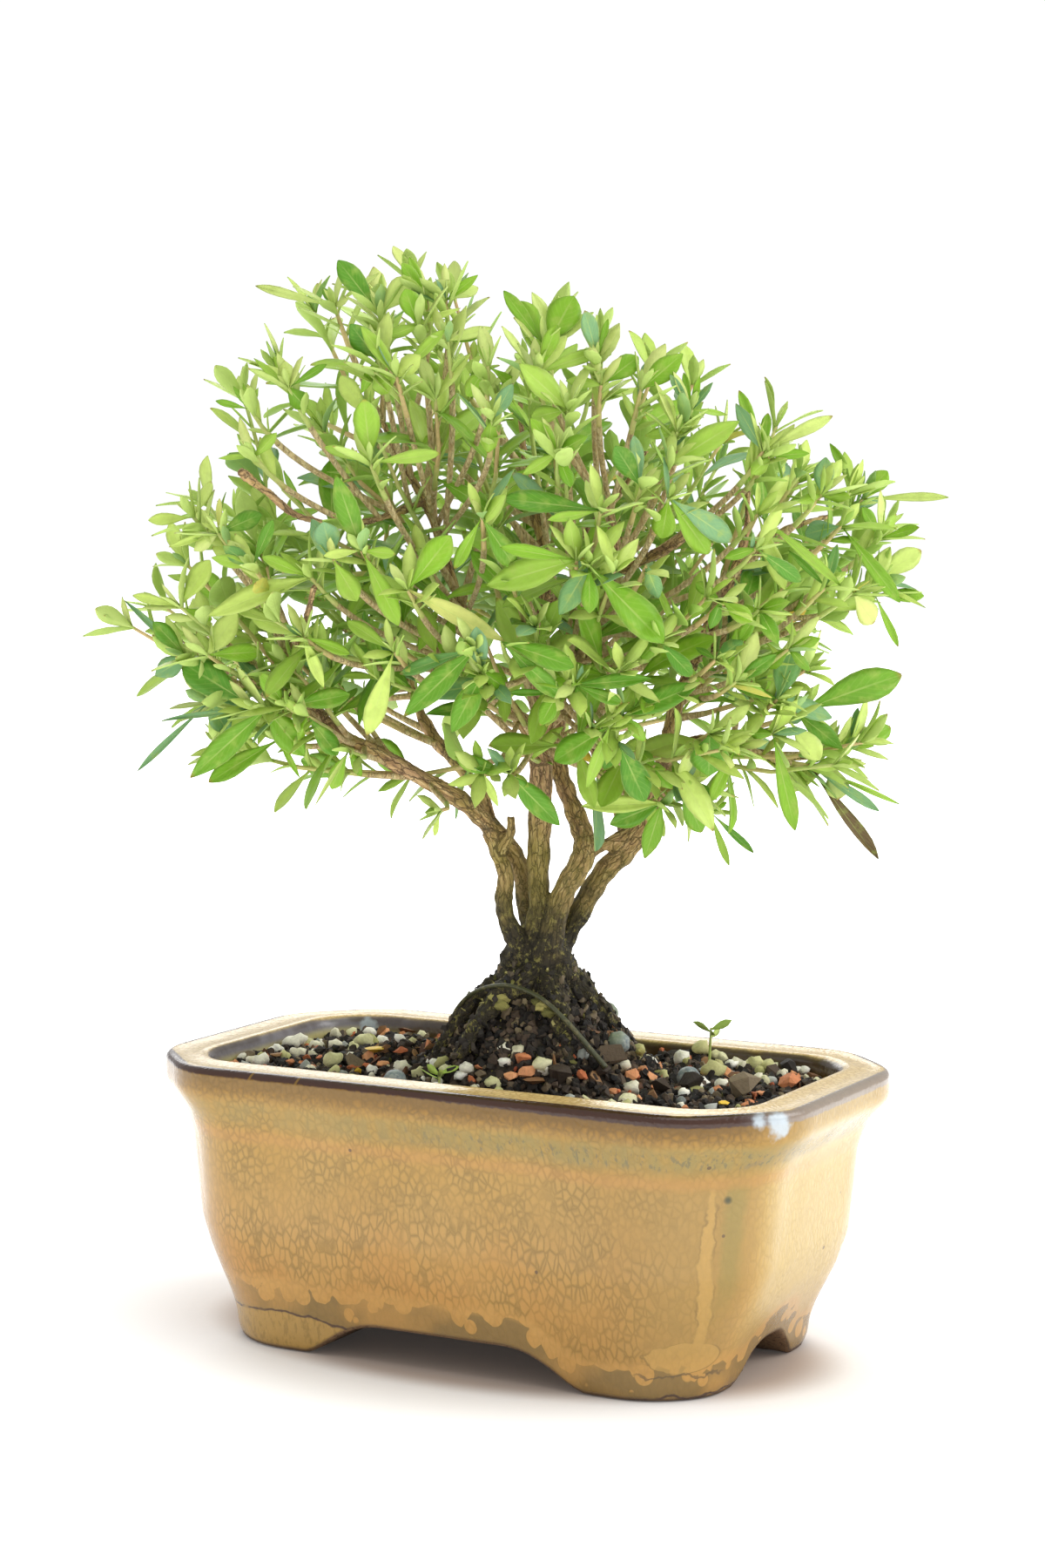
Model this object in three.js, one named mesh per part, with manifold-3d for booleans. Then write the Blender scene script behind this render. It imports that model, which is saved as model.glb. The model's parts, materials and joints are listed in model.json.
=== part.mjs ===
// A serissa bonsai in a glazed rectangular pot with cut corners. Millimetres, Z up.
// The origin lies on the table, under the middle of the whole tree and pot.
import * as THREE from "three";
import { mergeVertices } from "three/addons/utils/BufferGeometryUtils.js";
import Module from "manifold-3d";

const wasm = await Module();
wasm.setup();

// Clearance between pieces that touch on the real plant
const GAP = 0.3;
// Height of the slivers that a boolean leaves, and the spacing that corners are rounded to
const SLIVER = 0.05;
const HAIR = 0.002;

// Pot: outside of the lip, then how far the walls have drawn in at the feet
const POT_LENGTH = 150;
const POT_WIDTH = 86.7;
const POT_HEIGHT = 61.4;
const LIP_CUT = 16.9;
const LIP_WIDTH = 13.5;
const FOOT_INSET_X = 18.9;
const FOOT_INSET_Y = 9.1;
const FOOT_CUT_X = 10.8;
const FOOT_CUT_Y = 9;
// Height above the table, and the share of the foot inset that the wall has reached there
const WALL_PROFILE = [
  [0, 1], [2.4, 0.93], [6, 0.91], [10, 0.83], [14, 0.72], [19, 0.59], [26, 0.46], [36, 0.4], [45, 0.35],
  [50, 0.25], [53.4, 0.1], [55.6, 0], [60.6, 0], [61.4, 0.04],
];
const CAVITY_FLOOR = 14;
const CAVITY_CORNER = 10;
const CAVITY_TAPER = 8;
const FOOT_FLAT_X = 33;
const FOOT_FLAT_Y = 15;
const ARCH_RUN_X = 17;
const ARCH_RUN_Y = 12;
const ARCH_HEIGHT = 7.8;
// Wave of the lower edge: how early in its run it reaches full height, and its swell on the way
const ARCH_HASTE = 1.15;
const ARCH_SWELL = 0.6;
const DRAIN_RADIUS = 5.5;
const DRAIN_OFFSET = 28;
const SCREEN_SIZE = 17;
const SCREEN_THICKNESS = 1;

// Soil: level in the pot and the mound over the root ball
const SOIL_LEVEL = 57.2;
const MOUND_RISE = 21;
const MOUND_X = 4;
const MOUND_RADIUS_X = 27;
const MOUND_RADIUS_Y = 26;
const GRID_STEP = 6;
const CRUMB_HEIGHT = 1.3;
const STONE_COUNT = 14;
const PELLET_RADIUS = 2.5;

// The tree is turned on the pot: its own x runs across the view that it is trained for
const TREE_TURN = THREE.MathUtils.degToRad(28.6);

// Leaves: blade lengths and the thickness at the midrib
const LEAF_LENGTH = [11.5, 19];
const LEAF_SLENDERNESS = [0.27, 0.35];
const LEAF_THICKNESS = 0.75;
const PAIRS_PER_SHOOT = [4, 3, 3];
const SHOOT_LENGTH = 31;
const SHOOT_RADIUS = 0.62;
const SHOOT_END_RADIUS = 0.36;
const TWIG_RADIUS = 0.95;
// Share of a long twig that bears leaves, and how the twig leaves its limb and lifts at its end
const LEAFY_SHARE = 0.72;
const TWIG_START = 0.3;
const TWIG_SAG = 0.04;
const TWIG_LIFT = 0.35;
// Pairs along a shoot, and a leaf's angle to the stem at the shoot's foot and at its end, in radians
const PAIR_PLACES = [0.14, 0.96];
const LEAF_OPEN = [1.15, 0.45];
const LEAF_OPEN_SPREAD = 0.35;
const LEAF_TURN_SPREAD = 0.7;
const LEAF_DROOP = [-0.02, 0.2];
const YOUNG_SIZE = 0.62;
const BLADE_FOLD = 0.16;
// Limbs thicker than this get another side, and each gets this many lengths for a point of its line
const THICK_LIMB = 1.5;
const STEPS_PER_POINT = 0.65;
const GOLDEN_ANGLE = 2.4;

// Stems and boughs: x, y, z and radius at points along each
const LIMBS = {
  left_lower: [[0.5, -2, 84, 2.2], [-2.5, -3, 91.5, 2], [-3.5, -3, 96, 1.9], [-3, -3, 101, 1.8],
    [-4.5, -3, 105.5, 1.8], [-6.5, -3, 111, 2]],
  left: [[3, 4, 84, 2.4], [1, 4, 98.5, 2.1], [-1, 1, 105.5, 2], [-6.5, -3, 112, 2], [-12.5, -6, 118, 1.9],
    [-21.5, -10, 123.5, 1.8], [-30.5, -14, 129, 1.7], [-38, -18, 133, 1.6], [-44, -20, 141, 1.4],
    [-47, -20, 147.5, 1.3], [-50, -17, 158.5, 1.1], [-54.5, -14, 167, 1]],
  left_back: [[-5.5, -1, 111.5, 1.7], [-9.5, 6, 119.5, 1.6], [-14.5, 12, 125, 1.5], [-19.5, 18, 130.5, 1.5],
    [-23.5, 24, 138, 1.4], [-26, 30, 145, 1.3], [-29.5, 34, 156.5, 1.1], [-32.5, 38, 165, 1]],
  centre: [[3.5, -1, 84, 2.6], [4, -2, 96.5, 2.4], [4, -2, 107, 2.5], [4.5, -2, 119, 2.5],
    [4.5, -1, 128.5, 2.3], [4, 0, 139.5, 2], [4, 0, 150.5, 1.8], [5.5, 2, 162, 1.6], [4.5, 4, 173, 1.4],
    [2, 6, 184, 1.2], [0.5, 7, 195, 1], [0, 6, 204, 0.8]],
  crown_left: [[4.5, -2, 127, 1.8], [0, -8, 135.5, 1.7], [-6, -13, 144, 1.6], [-9.5, -17, 152.5, 1.5],
    [-13, -20, 162.5, 1.4], [-16.5, -22, 173.5, 1.3], [-20, -22, 182.5, 1.2], [-24.5, -20, 189.5, 1.1],
    [-28.5, -17, 198, 0.9]],
  front: [[6, -4, 84, 2.5], [9, -5, 97, 2.5], [12.5, -5, 103.5, 2.7], [14, -3, 108, 2.6], [12.5, 1, 113, 2.2],
    [10, 6, 119.5, 2.1], [8, 10, 125.5, 2], [8.5, 14, 134.5, 1.8], [10, 18, 146, 1.6], [12, 21, 159, 1.4],
    [11.5, 22, 172.5, 1.2], [10.5, 20, 186, 1.1], [10, 16, 197, 0.9]],
  right: [[8, 2, 83, 2.5], [13.5, 2, 94, 2.4], [18, 1, 101.5, 2.4], [22.5, 0, 106.5, 2.5],
    [27, -1, 112.5, 2.2], [30, -3, 121, 1.9], [31.5, -5, 130.5, 1.8], [33.5, -8, 140, 1.7],
    [37, -10, 148.5, 1.5], [40, -12, 156.5, 1.3], [43, -13, 162, 1.2], [47, -13, 169, 1]],
  link: [[14.5, -3, 106, 1.4], [18.5, -1.5, 108, 1.3], [22.5, 0, 109.5, 1.4]],
  right_inner: [[23.5, 1, 109.5, 2], [21, 5, 118, 1.9], [17.5, 9, 125, 1.8], [15, 13, 133, 1.6],
    [14.5, 17, 142, 1.5], [16.5, 22, 151.5, 1.4], [20, 28, 160.5, 1.2], [22.5, 33, 172, 1.1],
    [23.5, 36, 183.5, 0.9]],
  front_bough: [[5, -4, 130.5, 1.6], [8, -14, 140.5, 1.5], [11.5, -24, 150.5, 1.4], [16.5, -32, 159.5, 1.2],
    [19, -38, 169, 1.1], [18, -41, 179.5, 0.9]],
  back_bough: [[9.5, 16, 138.5, 1.5], [7.5, 28, 144.5, 1.4], [3, 38, 151.5, 1.3], [-1, 46, 158, 1.1],
    [-4, 50, 167.5, 0.9]],
  right_low: [[32, -6, 127, 1.3], [37, -10, 131, 1.1], [43, -16, 132.5, 1], [49, -21, 133.5, 0.9],
    [54, -26, 135, 0.8]],
  right_low_back: [[39, -11, 131.5, 1], [49, -8, 129, 0.9], [57.5, -4, 127, 0.8], [64.5, -2, 126.5, 0.7]],
  right_mid: [[37, -10, 148, 1.2], [44, -7, 153, 1.1], [52.5, -3, 157, 0.9], [62, 0, 160, 0.8]],
  right_top: [[47, -13, 168.5, 1], [52.5, -11, 174, 0.9], [60.5, -8, 177, 0.8], [66.5, -4, 178.5, 0.7]],
  right_back: [[36, -9, 146, 1.3], [41, 6, 154, 1.2], [45, 20, 161.5, 1], [48, 32, 169, 0.8]],
  right_front: [[42, -13, 160, 1.2], [44, -22, 167, 1.1], [46, -30, 175, 1], [46, -34, 184, 0.8]],
  left_low: [[-40.5, -19, 136, 1.2], [-47.5, -22, 141.5, 1.1], [-57, -20, 145, 1], [-65.5, -14, 148, 0.9],
    [-72, -8, 152.5, 0.7]],
  left_front: [[-46, -20, 145, 1.1], [-46, -32, 151, 1], [-43, -42, 158, 0.9], [-41, -49, 165, 0.8]],
  left_far: [[-48, -19, 151, 1.1], [-53, -4, 156, 1], [-57, 9, 162, 0.9], [-61, 19, 170, 0.7]],
  crown_right: [[5.5, 2, 165, 1.2], [13, -7, 174, 1.1], [20.5, -15, 183, 1], [26, -20, 192, 0.8]],
  cut_branch: [[5, 1, 158.5, 1.5], [16, -14, 165, 1.5], [23, -26, 168.5, 1.5], [30, -36, 172.5, 1.6],
    [34.5, -42, 176.5, 1.7]],
  cut_left: [[-19.5, -22, 181.5, 1.2], [-31.5, -34, 177.5, 1.4], [-43.5, -42, 178.5, 1.5],
    [-50, -46, 183.5, 1.5], [-55.5, -50, 188, 1.6]],
  stub: [[-3.5, -4, 107.5, 1.2], [-2, -5, 111, 1.1], [-1.8, -5.4, 114.5, 1]],
};

// Roots on the mound: x, y, z and radius at points along each
const ROOTS = [
  [[3, -4, 80, 3.2], [-4, -9, 76.5, 2.4], [-9, -13, 71, 1.8], [-13, -16, 64, 1.2]],
  [[6, -4, 80, 3.4], [8, -10, 75.5, 2.6], [9, -15, 70, 2], [11, -20, 62, 1.2]],
  [[2, 0, 80, 3], [-7, -2, 76, 2.2], [-13, -3, 70, 1.6], [-19, -5, 62, 1]],
  [[8, 0, 80, 3.2], [15, -2, 75, 2.4], [20, -3, 69, 1.6], [25, -4, 61, 1]],
  [[5, 4, 80, 3.2], [3, 10, 76, 2.4], [0, 15, 70, 1.8], [-2, 20, 61, 1.1]],
  [[8, 3, 80, 3], [14, 9, 75.5, 2.2], [18, 13, 69, 1.6], [22, 16, 61, 1]],
];
// Root crown: height, half-widths across and in depth
const CROWN = [[64, 7, 6.5], [72, 9.8, 9], [80, 8.8, 7.2], [85.5, 7, 5.2], [88, 5.2, 4]];
const CROWN_X = 4.5;

// Wire that ties the root ball down: points along it
const TIE_RADIUS = 0.9;
const TIE = [[-16, 2, 60], [-14.5, -1, 70], [-10, -6.5, 76.5], [-3, -11.5, 79], [4, -14.5, 77], [10, -17, 72],
  [15, -19.5, 66.5], [19, -21.5, 61.5], [21, -22.5, 54]];

// Slow-release pellets: x and y on the mound or the soil
const PELLETS = [[18.5, 7], [23, -11], [36, -11], [-26.5, -14.5], [14, 16]];

// Seedlings that came up in the soil: x, y, height, leaves, leaf length
const SEEDLINGS = [[-17.5, -17, 4, 5, 4.5], [41, 4, 10, 4, 5]];

// Leafy shoots: the end of each, first round the outline and over the front, then at the back
const TIPS = [
  [-43, -9, 221], [-22.5, -2, 227.5], [-14, 10, 224.5], [-58.5, 0, 203], [-66, -6, 181], [-69, -20, 168.5],
  [-76, 4, 158.5], [-82, -8, 155], [-58.5, -32, 142], [-60.5, -20, 130], [-36.5, -8, 124.5],
  [-34, -48, 176.5],
  [-49, -44, 158], [-30.5, -36, 199], [-4, -44, 201.5], [6.5, -8, 218], [17.5, 12, 216], [28, -8, 208.5],
  [41, -33, 194], [54, -6, 197], [70.5, 2, 183], [79, 14, 175], [74.5, -10, 164], [58, -36, 147.5],
  [72, -14, 131], [65.5, -22, 127], [40.5, -43, 132], [38, -24, 121.5], [14.5, -48, 137], [-13, -50, 149.5],
  [3, -54, 157.5], [18.5, -58, 168.5], [9, -54, 189], [37, -50, 163],
  [-62, 30, 176], [-37, 52, 183], [-14, 60, 176], [14, 62, 168], [42, 54, 170], [64, 36, 160],
  [-50, 40, 148], [-20, 52, 142], [14, 55, 139], [46, 38, 138], [-30, 34, 206], [2, 40, 206],
];
// Middle of the crown, which the shoots point away from, and how far back a twig starts
const HEART = new THREE.Vector3(3, 0, 128);
const TWIG_REACH = 44;
const LOWEST_TWIG = 122;
const UP = new THREE.Vector3(0, 0, 1);

// Repeatable random numbers from 0 to 1
function randomFrom(seed) {
  let state = seed | 0;
  return () => {
    state = (state + 0x6d2b79f5) | 0;
    let mixed = Math.imul(state ^ (state >>> 15), 1 | state);
    mixed = (mixed + Math.imul(mixed ^ (mixed >>> 7), 61 | mixed)) ^ mixed;
    return ((mixed ^ (mixed >>> 14)) >>> 0) / 4294967296;
  };
}

const mix = (low, high, share) => low + (high - low) * share;
const vector = (point) => new THREE.Vector3(point[0], point[1], point[2]);

// A closed surface through rings of points, counter-clockwise as seen from the last ring.
// A ring of one point closes that end as a tip.
function loft(rings) {
  const points = rings.flat();
  const index = [];
  let start = 0;
  for (let ring = 0; ring + 1 < rings.length; ring += 1) {
    const here = rings[ring].length;
    const next = rings[ring + 1].length;
    for (let side = 0; side < Math.max(here, next); side += 1) {
      const a = start + side % here;
      const b = start + (side + 1) % here;
      const c = start + here + side % next;
      const d = start + here + (side + 1) % next;
      if (here > 1) index.push(a, b, d);
      if (next > 1) index.push(a, d, c);
    }
    start += here;
  }
  const last = rings[rings.length - 1].length;
  for (let side = 1; side + 1 < rings[0].length; side += 1) index.push(0, side + 1, side);
  for (let side = 1; side + 1 < last; side += 1) index.push(start, start + side, start + side + 1);
  const geometry = new THREE.BufferGeometry().setFromPoints(points);
  geometry.setIndex(index);
  return geometry;
}

// Solid from a closed geometry, and geometry from a solid
function solidFrom(source) {
  const geometry = source.clone();
  geometry.deleteAttribute("normal");
  geometry.deleteAttribute("uv");
  const merged = mergeVertices(geometry, 1e-4);
  return new wasm.Manifold(new wasm.Mesh({
    numProp: 3,
    vertProperties: new Float32Array(merged.attributes.position.array),
    triVerts: new Uint32Array(merged.index.array),
  }));
}

// Slivers are taken out, and corners closer than a hair are made one
function geometryFrom(solid) {
  const mesh = solid.simplify(SLIVER).getMesh();
  const rounded = Float32Array.from(mesh.vertProperties, (value) => Math.round(value / HAIR) * HAIR);
  const loose = new THREE.BufferGeometry();
  loose.setAttribute("position", new THREE.BufferAttribute(rounded, 3));
  loose.setIndex(new THREE.BufferAttribute(new Uint32Array(mesh.triVerts), 1));
  const geometry = mergeVertices(loose, HAIR / 4);
  const corners = Array.from(geometry.index.array);
  const kept = corners.flatMap((corner, number) => {
    if (number % 3 > 0) return [];
    const [second, third] = [corners[number + 1], corners[number + 2]];
    return corner === second || second === third || third === corner ? [] : [corner, second, third];
  });
  geometry.setIndex(kept);
  geometry.computeVertexNormals();
  return geometry;
}

const joined = (solids) => solids.reduce((whole, piece) => whole.add(piece));

// The largest body, without the loose scraps that a cut leaves
function withoutScraps(solid) {
  return solid.decompose().reduce((best, body) => (body.volume() > best.volume() ? body : best));
}

// Round ring across a direction; turn is the angle of its first point
function ringAt(centre, direction, radius, sides, turn = 0) {
  const across = new THREE.Vector3().crossVectors(direction, UP);
  if (across.length() < 1e-3) across.set(1, 0, 0);
  across.normalize();
  const other = new THREE.Vector3().crossVectors(direction, across).normalize();
  return Array.from({ length: sides }, (_, side) => {
    const angle = (side / sides) * Math.PI * 2 + turn;
    return centre.clone().addScaledVector(across, radius * Math.cos(angle))
      .addScaledVector(other, radius * Math.sin(angle));
  });
}

// Tapered tube along a curve from one share of it to another; radius is a function of the share
function tube(curve, radius, sides, steps, from = 0, to = 1, turn = 0) {
  const rings = Array.from({ length: steps + 1 }, (_, step) => {
    const share = mix(from, to, step / steps);
    return ringAt(curve.getPoint(share), curve.getTangent(share), radius(share), sides, turn);
  });
  return loft(rings);
}

function limbCurve(points) {
  return new THREE.CatmullRomCurve3(points.map(vector), false, "catmullrom", 0.5);
}

// Radius along a list of points, linear between them
function radiusAlong(points, extra = 0) {
  return (share) => {
    const place = share * (points.length - 1);
    const low = Math.min(Math.floor(place), points.length - 2);
    return mix(points[low][3], points[low + 1][3], place - low) + extra;
  };
}

// The same points with the last moved further on
function lengthened(points, extra) {
  const last = points.at(-1);
  const before = points.at(-2);
  const step = extra / vector(last).distanceTo(vector(before));
  const moved = last.map((value, number) => (number < 3 ? mix(before[number], value, 1 + step) : value));
  return [...points.slice(0, -1), moved];
}

// Rectangle with cut corners
function cutRectangle(halfX, halfY, cutX, cutY, z) {
  return [
    [halfX, -halfY + cutY], [halfX, halfY - cutY], [halfX - cutX, halfY], [-halfX + cutX, halfY],
    [-halfX, halfY - cutY], [-halfX, -halfY + cutY], [-halfX + cutX, -halfY], [halfX - cutX, -halfY],
  ].map(([x, y]) => new THREE.Vector3(x, y, z));
}

// Rectangle with round corners
function roundRectangle(halfX, halfY, radius, z, perCorner = 5) {
  const centres = [[1, 1], [-1, 1], [-1, -1], [1, -1]];
  return centres.flatMap(([sideX, sideY], corner) => Array.from({ length: perCorner }, (_, step) => {
    const angle = (corner + step / (perCorner - 1)) * Math.PI / 2;
    return new THREE.Vector3(
      sideX * (halfX - radius) + radius * Math.cos(angle),
      sideY * (halfY - radius) + radius * Math.sin(angle),
      z,
    );
  }));
}

// Inside of the pot, drawn in by a margin
function cavity(margin, floor, top) {
  const halfX = POT_LENGTH / 2 - LIP_WIDTH - margin;
  const halfY = POT_WIDTH / 2 - LIP_WIDTH - margin;
  const ring = (z) => {
    const drawn = CAVITY_TAPER * (POT_HEIGHT - z) / (POT_HEIGHT - CAVITY_FLOOR);
    return roundRectangle(halfX - drawn, halfY - drawn / 2, CAVITY_CORNER - margin, z);
  };
  return solidFrom(loft([ring(floor), ring(top)]));
}

// Wave-cut arch between two feet, as a prism across the pot
function archPrism(flat, run, along) {
  const steps = 6;
  const outline = [];
  for (let step = 0; step <= steps; step += 1) {
    const share = step / steps;
    const rise = ARCH_HEIGHT * (0.5 - 0.5 * Math.cos(Math.PI * Math.min(1, share * ARCH_HASTE)))
      + ARCH_SWELL * Math.sin(Math.PI * 2 * share);
    outline.push([-flat + run * share, rise]);
  }
  const shape = new THREE.Shape();
  shape.moveTo(-flat, -1);
  outline.forEach(([x, z]) => shape.lineTo(x, z));
  outline.toReversed().forEach(([x, z]) => shape.lineTo(-x, z));
  shape.lineTo(flat, -1);
  const prism = new THREE.ExtrudeGeometry(shape, { depth: POT_LENGTH, bevelEnabled: false });
  prism.translate(0, 0, -POT_LENGTH / 2);
  prism.rotateX(Math.PI / 2);
  if (along === "x") prism.rotateZ(Math.PI / 2);
  return solidFrom(prism);
}

function uprightCylinder(x, y, z, radius, height, sides) {
  const cylinder = new THREE.CylinderGeometry(radius, radius, height, sides);
  cylinder.rotateX(Math.PI / 2);
  cylinder.translate(x, y, z + height / 2);
  return solidFrom(cylinder);
}

function makePot() {
  const rings = WALL_PROFILE.map(([z, share]) => cutRectangle(
    POT_LENGTH / 2 - FOOT_INSET_X * share,
    POT_WIDTH / 2 - FOOT_INSET_Y * share,
    mix(LIP_CUT, FOOT_CUT_X, share),
    mix(LIP_CUT, FOOT_CUT_Y, share),
    z,
  ));
  let pot = solidFrom(loft(rings));
  pot = pot.subtract(cavity(0, CAVITY_FLOOR, POT_HEIGHT + 1));
  pot = pot.subtract(archPrism(FOOT_FLAT_X, ARCH_RUN_X, "y"));
  pot = pot.subtract(archPrism(FOOT_FLAT_Y, ARCH_RUN_Y, "x"));
  [-DRAIN_OFFSET, DRAIN_OFFSET].forEach((x) => {
    pot = pot.subtract(uprightCylinder(x, 0, 0, DRAIN_RADIUS, POT_HEIGHT, 16));
  });
  return pot;
}

// Mesh screen over a drain hole: a plate with square holes
function makeScreen(x) {
  const height = CAVITY_FLOOR + GAP + SCREEN_THICKNESS / 2;
  const plate = new THREE.BoxGeometry(SCREEN_SIZE, SCREEN_SIZE, SCREEN_THICKNESS).translate(x, 0, height);
  let screen = solidFrom(plate);
  const pitch = SCREEN_SIZE / 3;
  for (let row = -0.5; row <= 0.5; row += 1) {
    for (let column = -0.5; column <= 0.5; column += 1) {
      const hole = new THREE.BoxGeometry(pitch * 0.6, pitch * 0.6, SCREEN_THICKNESS * 3);
      screen = screen.subtract(solidFrom(hole.translate(x + column * pitch, row * pitch, height)));
    }
  }
  return screen;
}

const toTree = (x, y) => new THREE.Vector3(x, y, 0).applyAxisAngle(UP, -TREE_TURN);

// Height of the soil at a place in the tree's own x and y
function soilHeight(x, y) {
  const away = ((x - MOUND_X) / MOUND_RADIUS_X) ** 2 + (y / MOUND_RADIUS_Y) ** 2;
  return SOIL_LEVEL + (away < 1 ? MOUND_RISE * (1 - away) ** 1.3 : 0);
}

// Block of soil with a crumbled top, in the pot's axes
function soilBlock() {
  const columns = Math.round(POT_LENGTH / GRID_STEP);
  const rows = Math.round(POT_WIDTH / GRID_STEP);
  const draw = randomFrom(11);
  const point = (column, row, deep) => {
    const shift = deep ? 0 : GRID_STEP * 0.28;
    const x = (column - columns / 2) * GRID_STEP + shift * (draw() - 0.5) * 2;
    const y = (row - rows / 2) * GRID_STEP + shift * (draw() - 0.5) * 2;
    const place = toTree(x, y);
    const top = soilHeight(place.x, place.y) + CRUMB_HEIGHT * (draw() * 2 - 1);
    return new THREE.Vector3(x, y, deep ? CAVITY_FLOOR : top);
  };
  const positions = [];
  const index = [];
  const at = (column, row, deep) => ((deep ? 1 : 0) * (rows + 1) + row) * (columns + 1) + column;
  [false, true].forEach((deep) => {
    for (let row = 0; row <= rows; row += 1) {
      for (let column = 0; column <= columns; column += 1) positions.push(point(column, row, deep));
    }
  });
  const face = (a, b, c, d) => index.push(a, b, c, a, c, d);
  for (let row = 0; row < rows; row += 1) {
    for (let column = 0; column < columns; column += 1) {
      face(at(column, row), at(column + 1, row), at(column + 1, row + 1), at(column, row + 1));
      face(at(column, row, 1), at(column, row + 1, 1), at(column + 1, row + 1, 1), at(column + 1, row, 1));
    }
  }
  for (let column = 0; column < columns; column += 1) {
    face(at(column, 0, 1), at(column + 1, 0, 1), at(column + 1, 0), at(column, 0));
    face(at(column, rows), at(column + 1, rows), at(column + 1, rows, 1), at(column, rows, 1));
  }
  for (let row = 0; row < rows; row += 1) {
    face(at(0, row), at(0, row + 1), at(0, row + 1, 1), at(0, row, 1));
    face(at(columns, row, 1), at(columns, row + 1, 1), at(columns, row + 1), at(columns, row));
  }
  const geometry = new THREE.BufferGeometry().setFromPoints(positions);
  geometry.setIndex(index);
  return solidFrom(geometry);
}

// Pumice, clay and bark pieces that stand out of the soil
function stones() {
  const draw = randomFrom(23);
  return Array.from({ length: STONE_COUNT }, () => {
    const x = (draw() * 2 - 1) * (POT_LENGTH / 2 - LIP_WIDTH - 4);
    const y = (draw() * 2 - 1) * (POT_WIDTH / 2 - LIP_WIDTH - 4);
    const place = toTree(x, y);
    const size = mix(1.8, 3.2, draw());
    const stone = new THREE.IcosahedronGeometry(size, 0);
    stone.scale(1, 0.8, 0.7);
    stone.rotateX(draw() * 3);
    stone.rotateZ(draw() * 6);
    stone.translate(x, y, soilHeight(place.x, place.y) + size * 0.15);
    return solidFrom(stone);
  });
}

const pelletCentre = ([x, y]) => new THREE.Vector3(x, y, soilHeight(x, y) + PELLET_RADIUS * 0.75);

function pellet(place) {
  const centre = pelletCentre(place);
  return solidFrom(new THREE.IcosahedronGeometry(PELLET_RADIUS, 1).translate(centre.x, centre.y, centre.z));
}

// Hollow that a pellet lies in; its flat faces are further in than its corners
function pelletHollow(place) {
  const centre = pelletCentre(place);
  const radius = (PELLET_RADIUS + GAP) / 0.795;
  return solidFrom(new THREE.IcosahedronGeometry(radius, 0).translate(centre.x, centre.y, centre.z));
}

// Root crown and roots; the margin makes the hole that they stand in
function rootWood(margin) {
  const sides = 7;
  const rings = CROWN.map(([z, halfX, halfY], number) => Array.from({ length: sides }, (_, side) => {
    const angle = (side / sides) * Math.PI * 2;
    const bulge = 1 + 0.1 * Math.sin(3 * angle + number * 1.7);
    return new THREE.Vector3(
      CROWN_X + (halfX * bulge + margin) * Math.cos(angle),
      (halfY * bulge + margin) * Math.sin(angle),
      z - (number === 0 ? margin : 0),
    );
  }));
  const parts = [solidFrom(loft(rings))];
  ROOTS.forEach((points) => {
    const curve = limbCurve(lengthened(points, margin * 2));
    parts.push(solidFrom(tube(curve, radiusAlong(points, margin * 1.5), 4, 2)));
  });
  return joined(parts);
}

function tieTube(margin) {
  const curve = limbCurve(lengthened(lengthened(TIE, margin * 2).toReversed(), margin * 2).toReversed());
  return solidFrom(tube(curve, () => TIE_RADIUS + margin * 1.2, 6, 14));
}

// Points along every limb, for the twigs to start from and the leaves to keep clear of
function limbSamples() {
  return Object.values(LIMBS).flatMap((points) => {
    const curve = limbCurve(points);
    const radius = radiusAlong(points);
    const count = (points.length - 1) * 4;
    return Array.from({ length: count + 1 }, (_, number) => ({
      at: curve.getPoint(number / count),
      radius: radius(number / count),
    }));
  });
}

// A twig and the leafy shoot at its end, on one curve from the nearest limb
function growShoot(tipPoint, samples) {
  const tip = vector(tipPoint);
  const outward = tip.clone().sub(HEART).normalize();
  const target = tip.clone().addScaledVector(outward, -TWIG_REACH);
  const start = samples.filter((sample) => sample.at.z > LOWEST_TWIG)
    .reduce((best, sample) => (sample.at.distanceTo(target) < best.at.distanceTo(target) ? sample : best));
  const length = start.at.distanceTo(tip);
  const ending = outward.clone().addScaledVector(UP, TWIG_LIFT).normalize();
  const toTip = tip.clone().sub(start.at).normalize();
  const curve = new THREE.CubicBezierCurve3(
    start.at,
    start.at.clone().addScaledVector(toTip, length * TWIG_START).addScaledVector(UP, -length * TWIG_SAG),
    tip.clone().addScaledVector(ending, -length * TWIG_LIFT),
    tip,
  );
  const leafy = Math.min(SHOOT_LENGTH, length * LEAFY_SHARE);
  return { curve, length, split: 1 - leafy / length, base: Math.min(start.radius * 0.9, TWIG_RADIUS) };
}

// Point on the stem of a shoot, which is straight between its two ends and its middle
function stemPoint(shoot, share) {
  const middle = (shoot.split + 1) / 2;
  const [from, to] = share < middle ? [shoot.split, middle] : [middle, 1];
  return shoot.curve.getPoint(from).lerp(shoot.curve.getPoint(to), (share - from) / (to - from));
}

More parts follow.
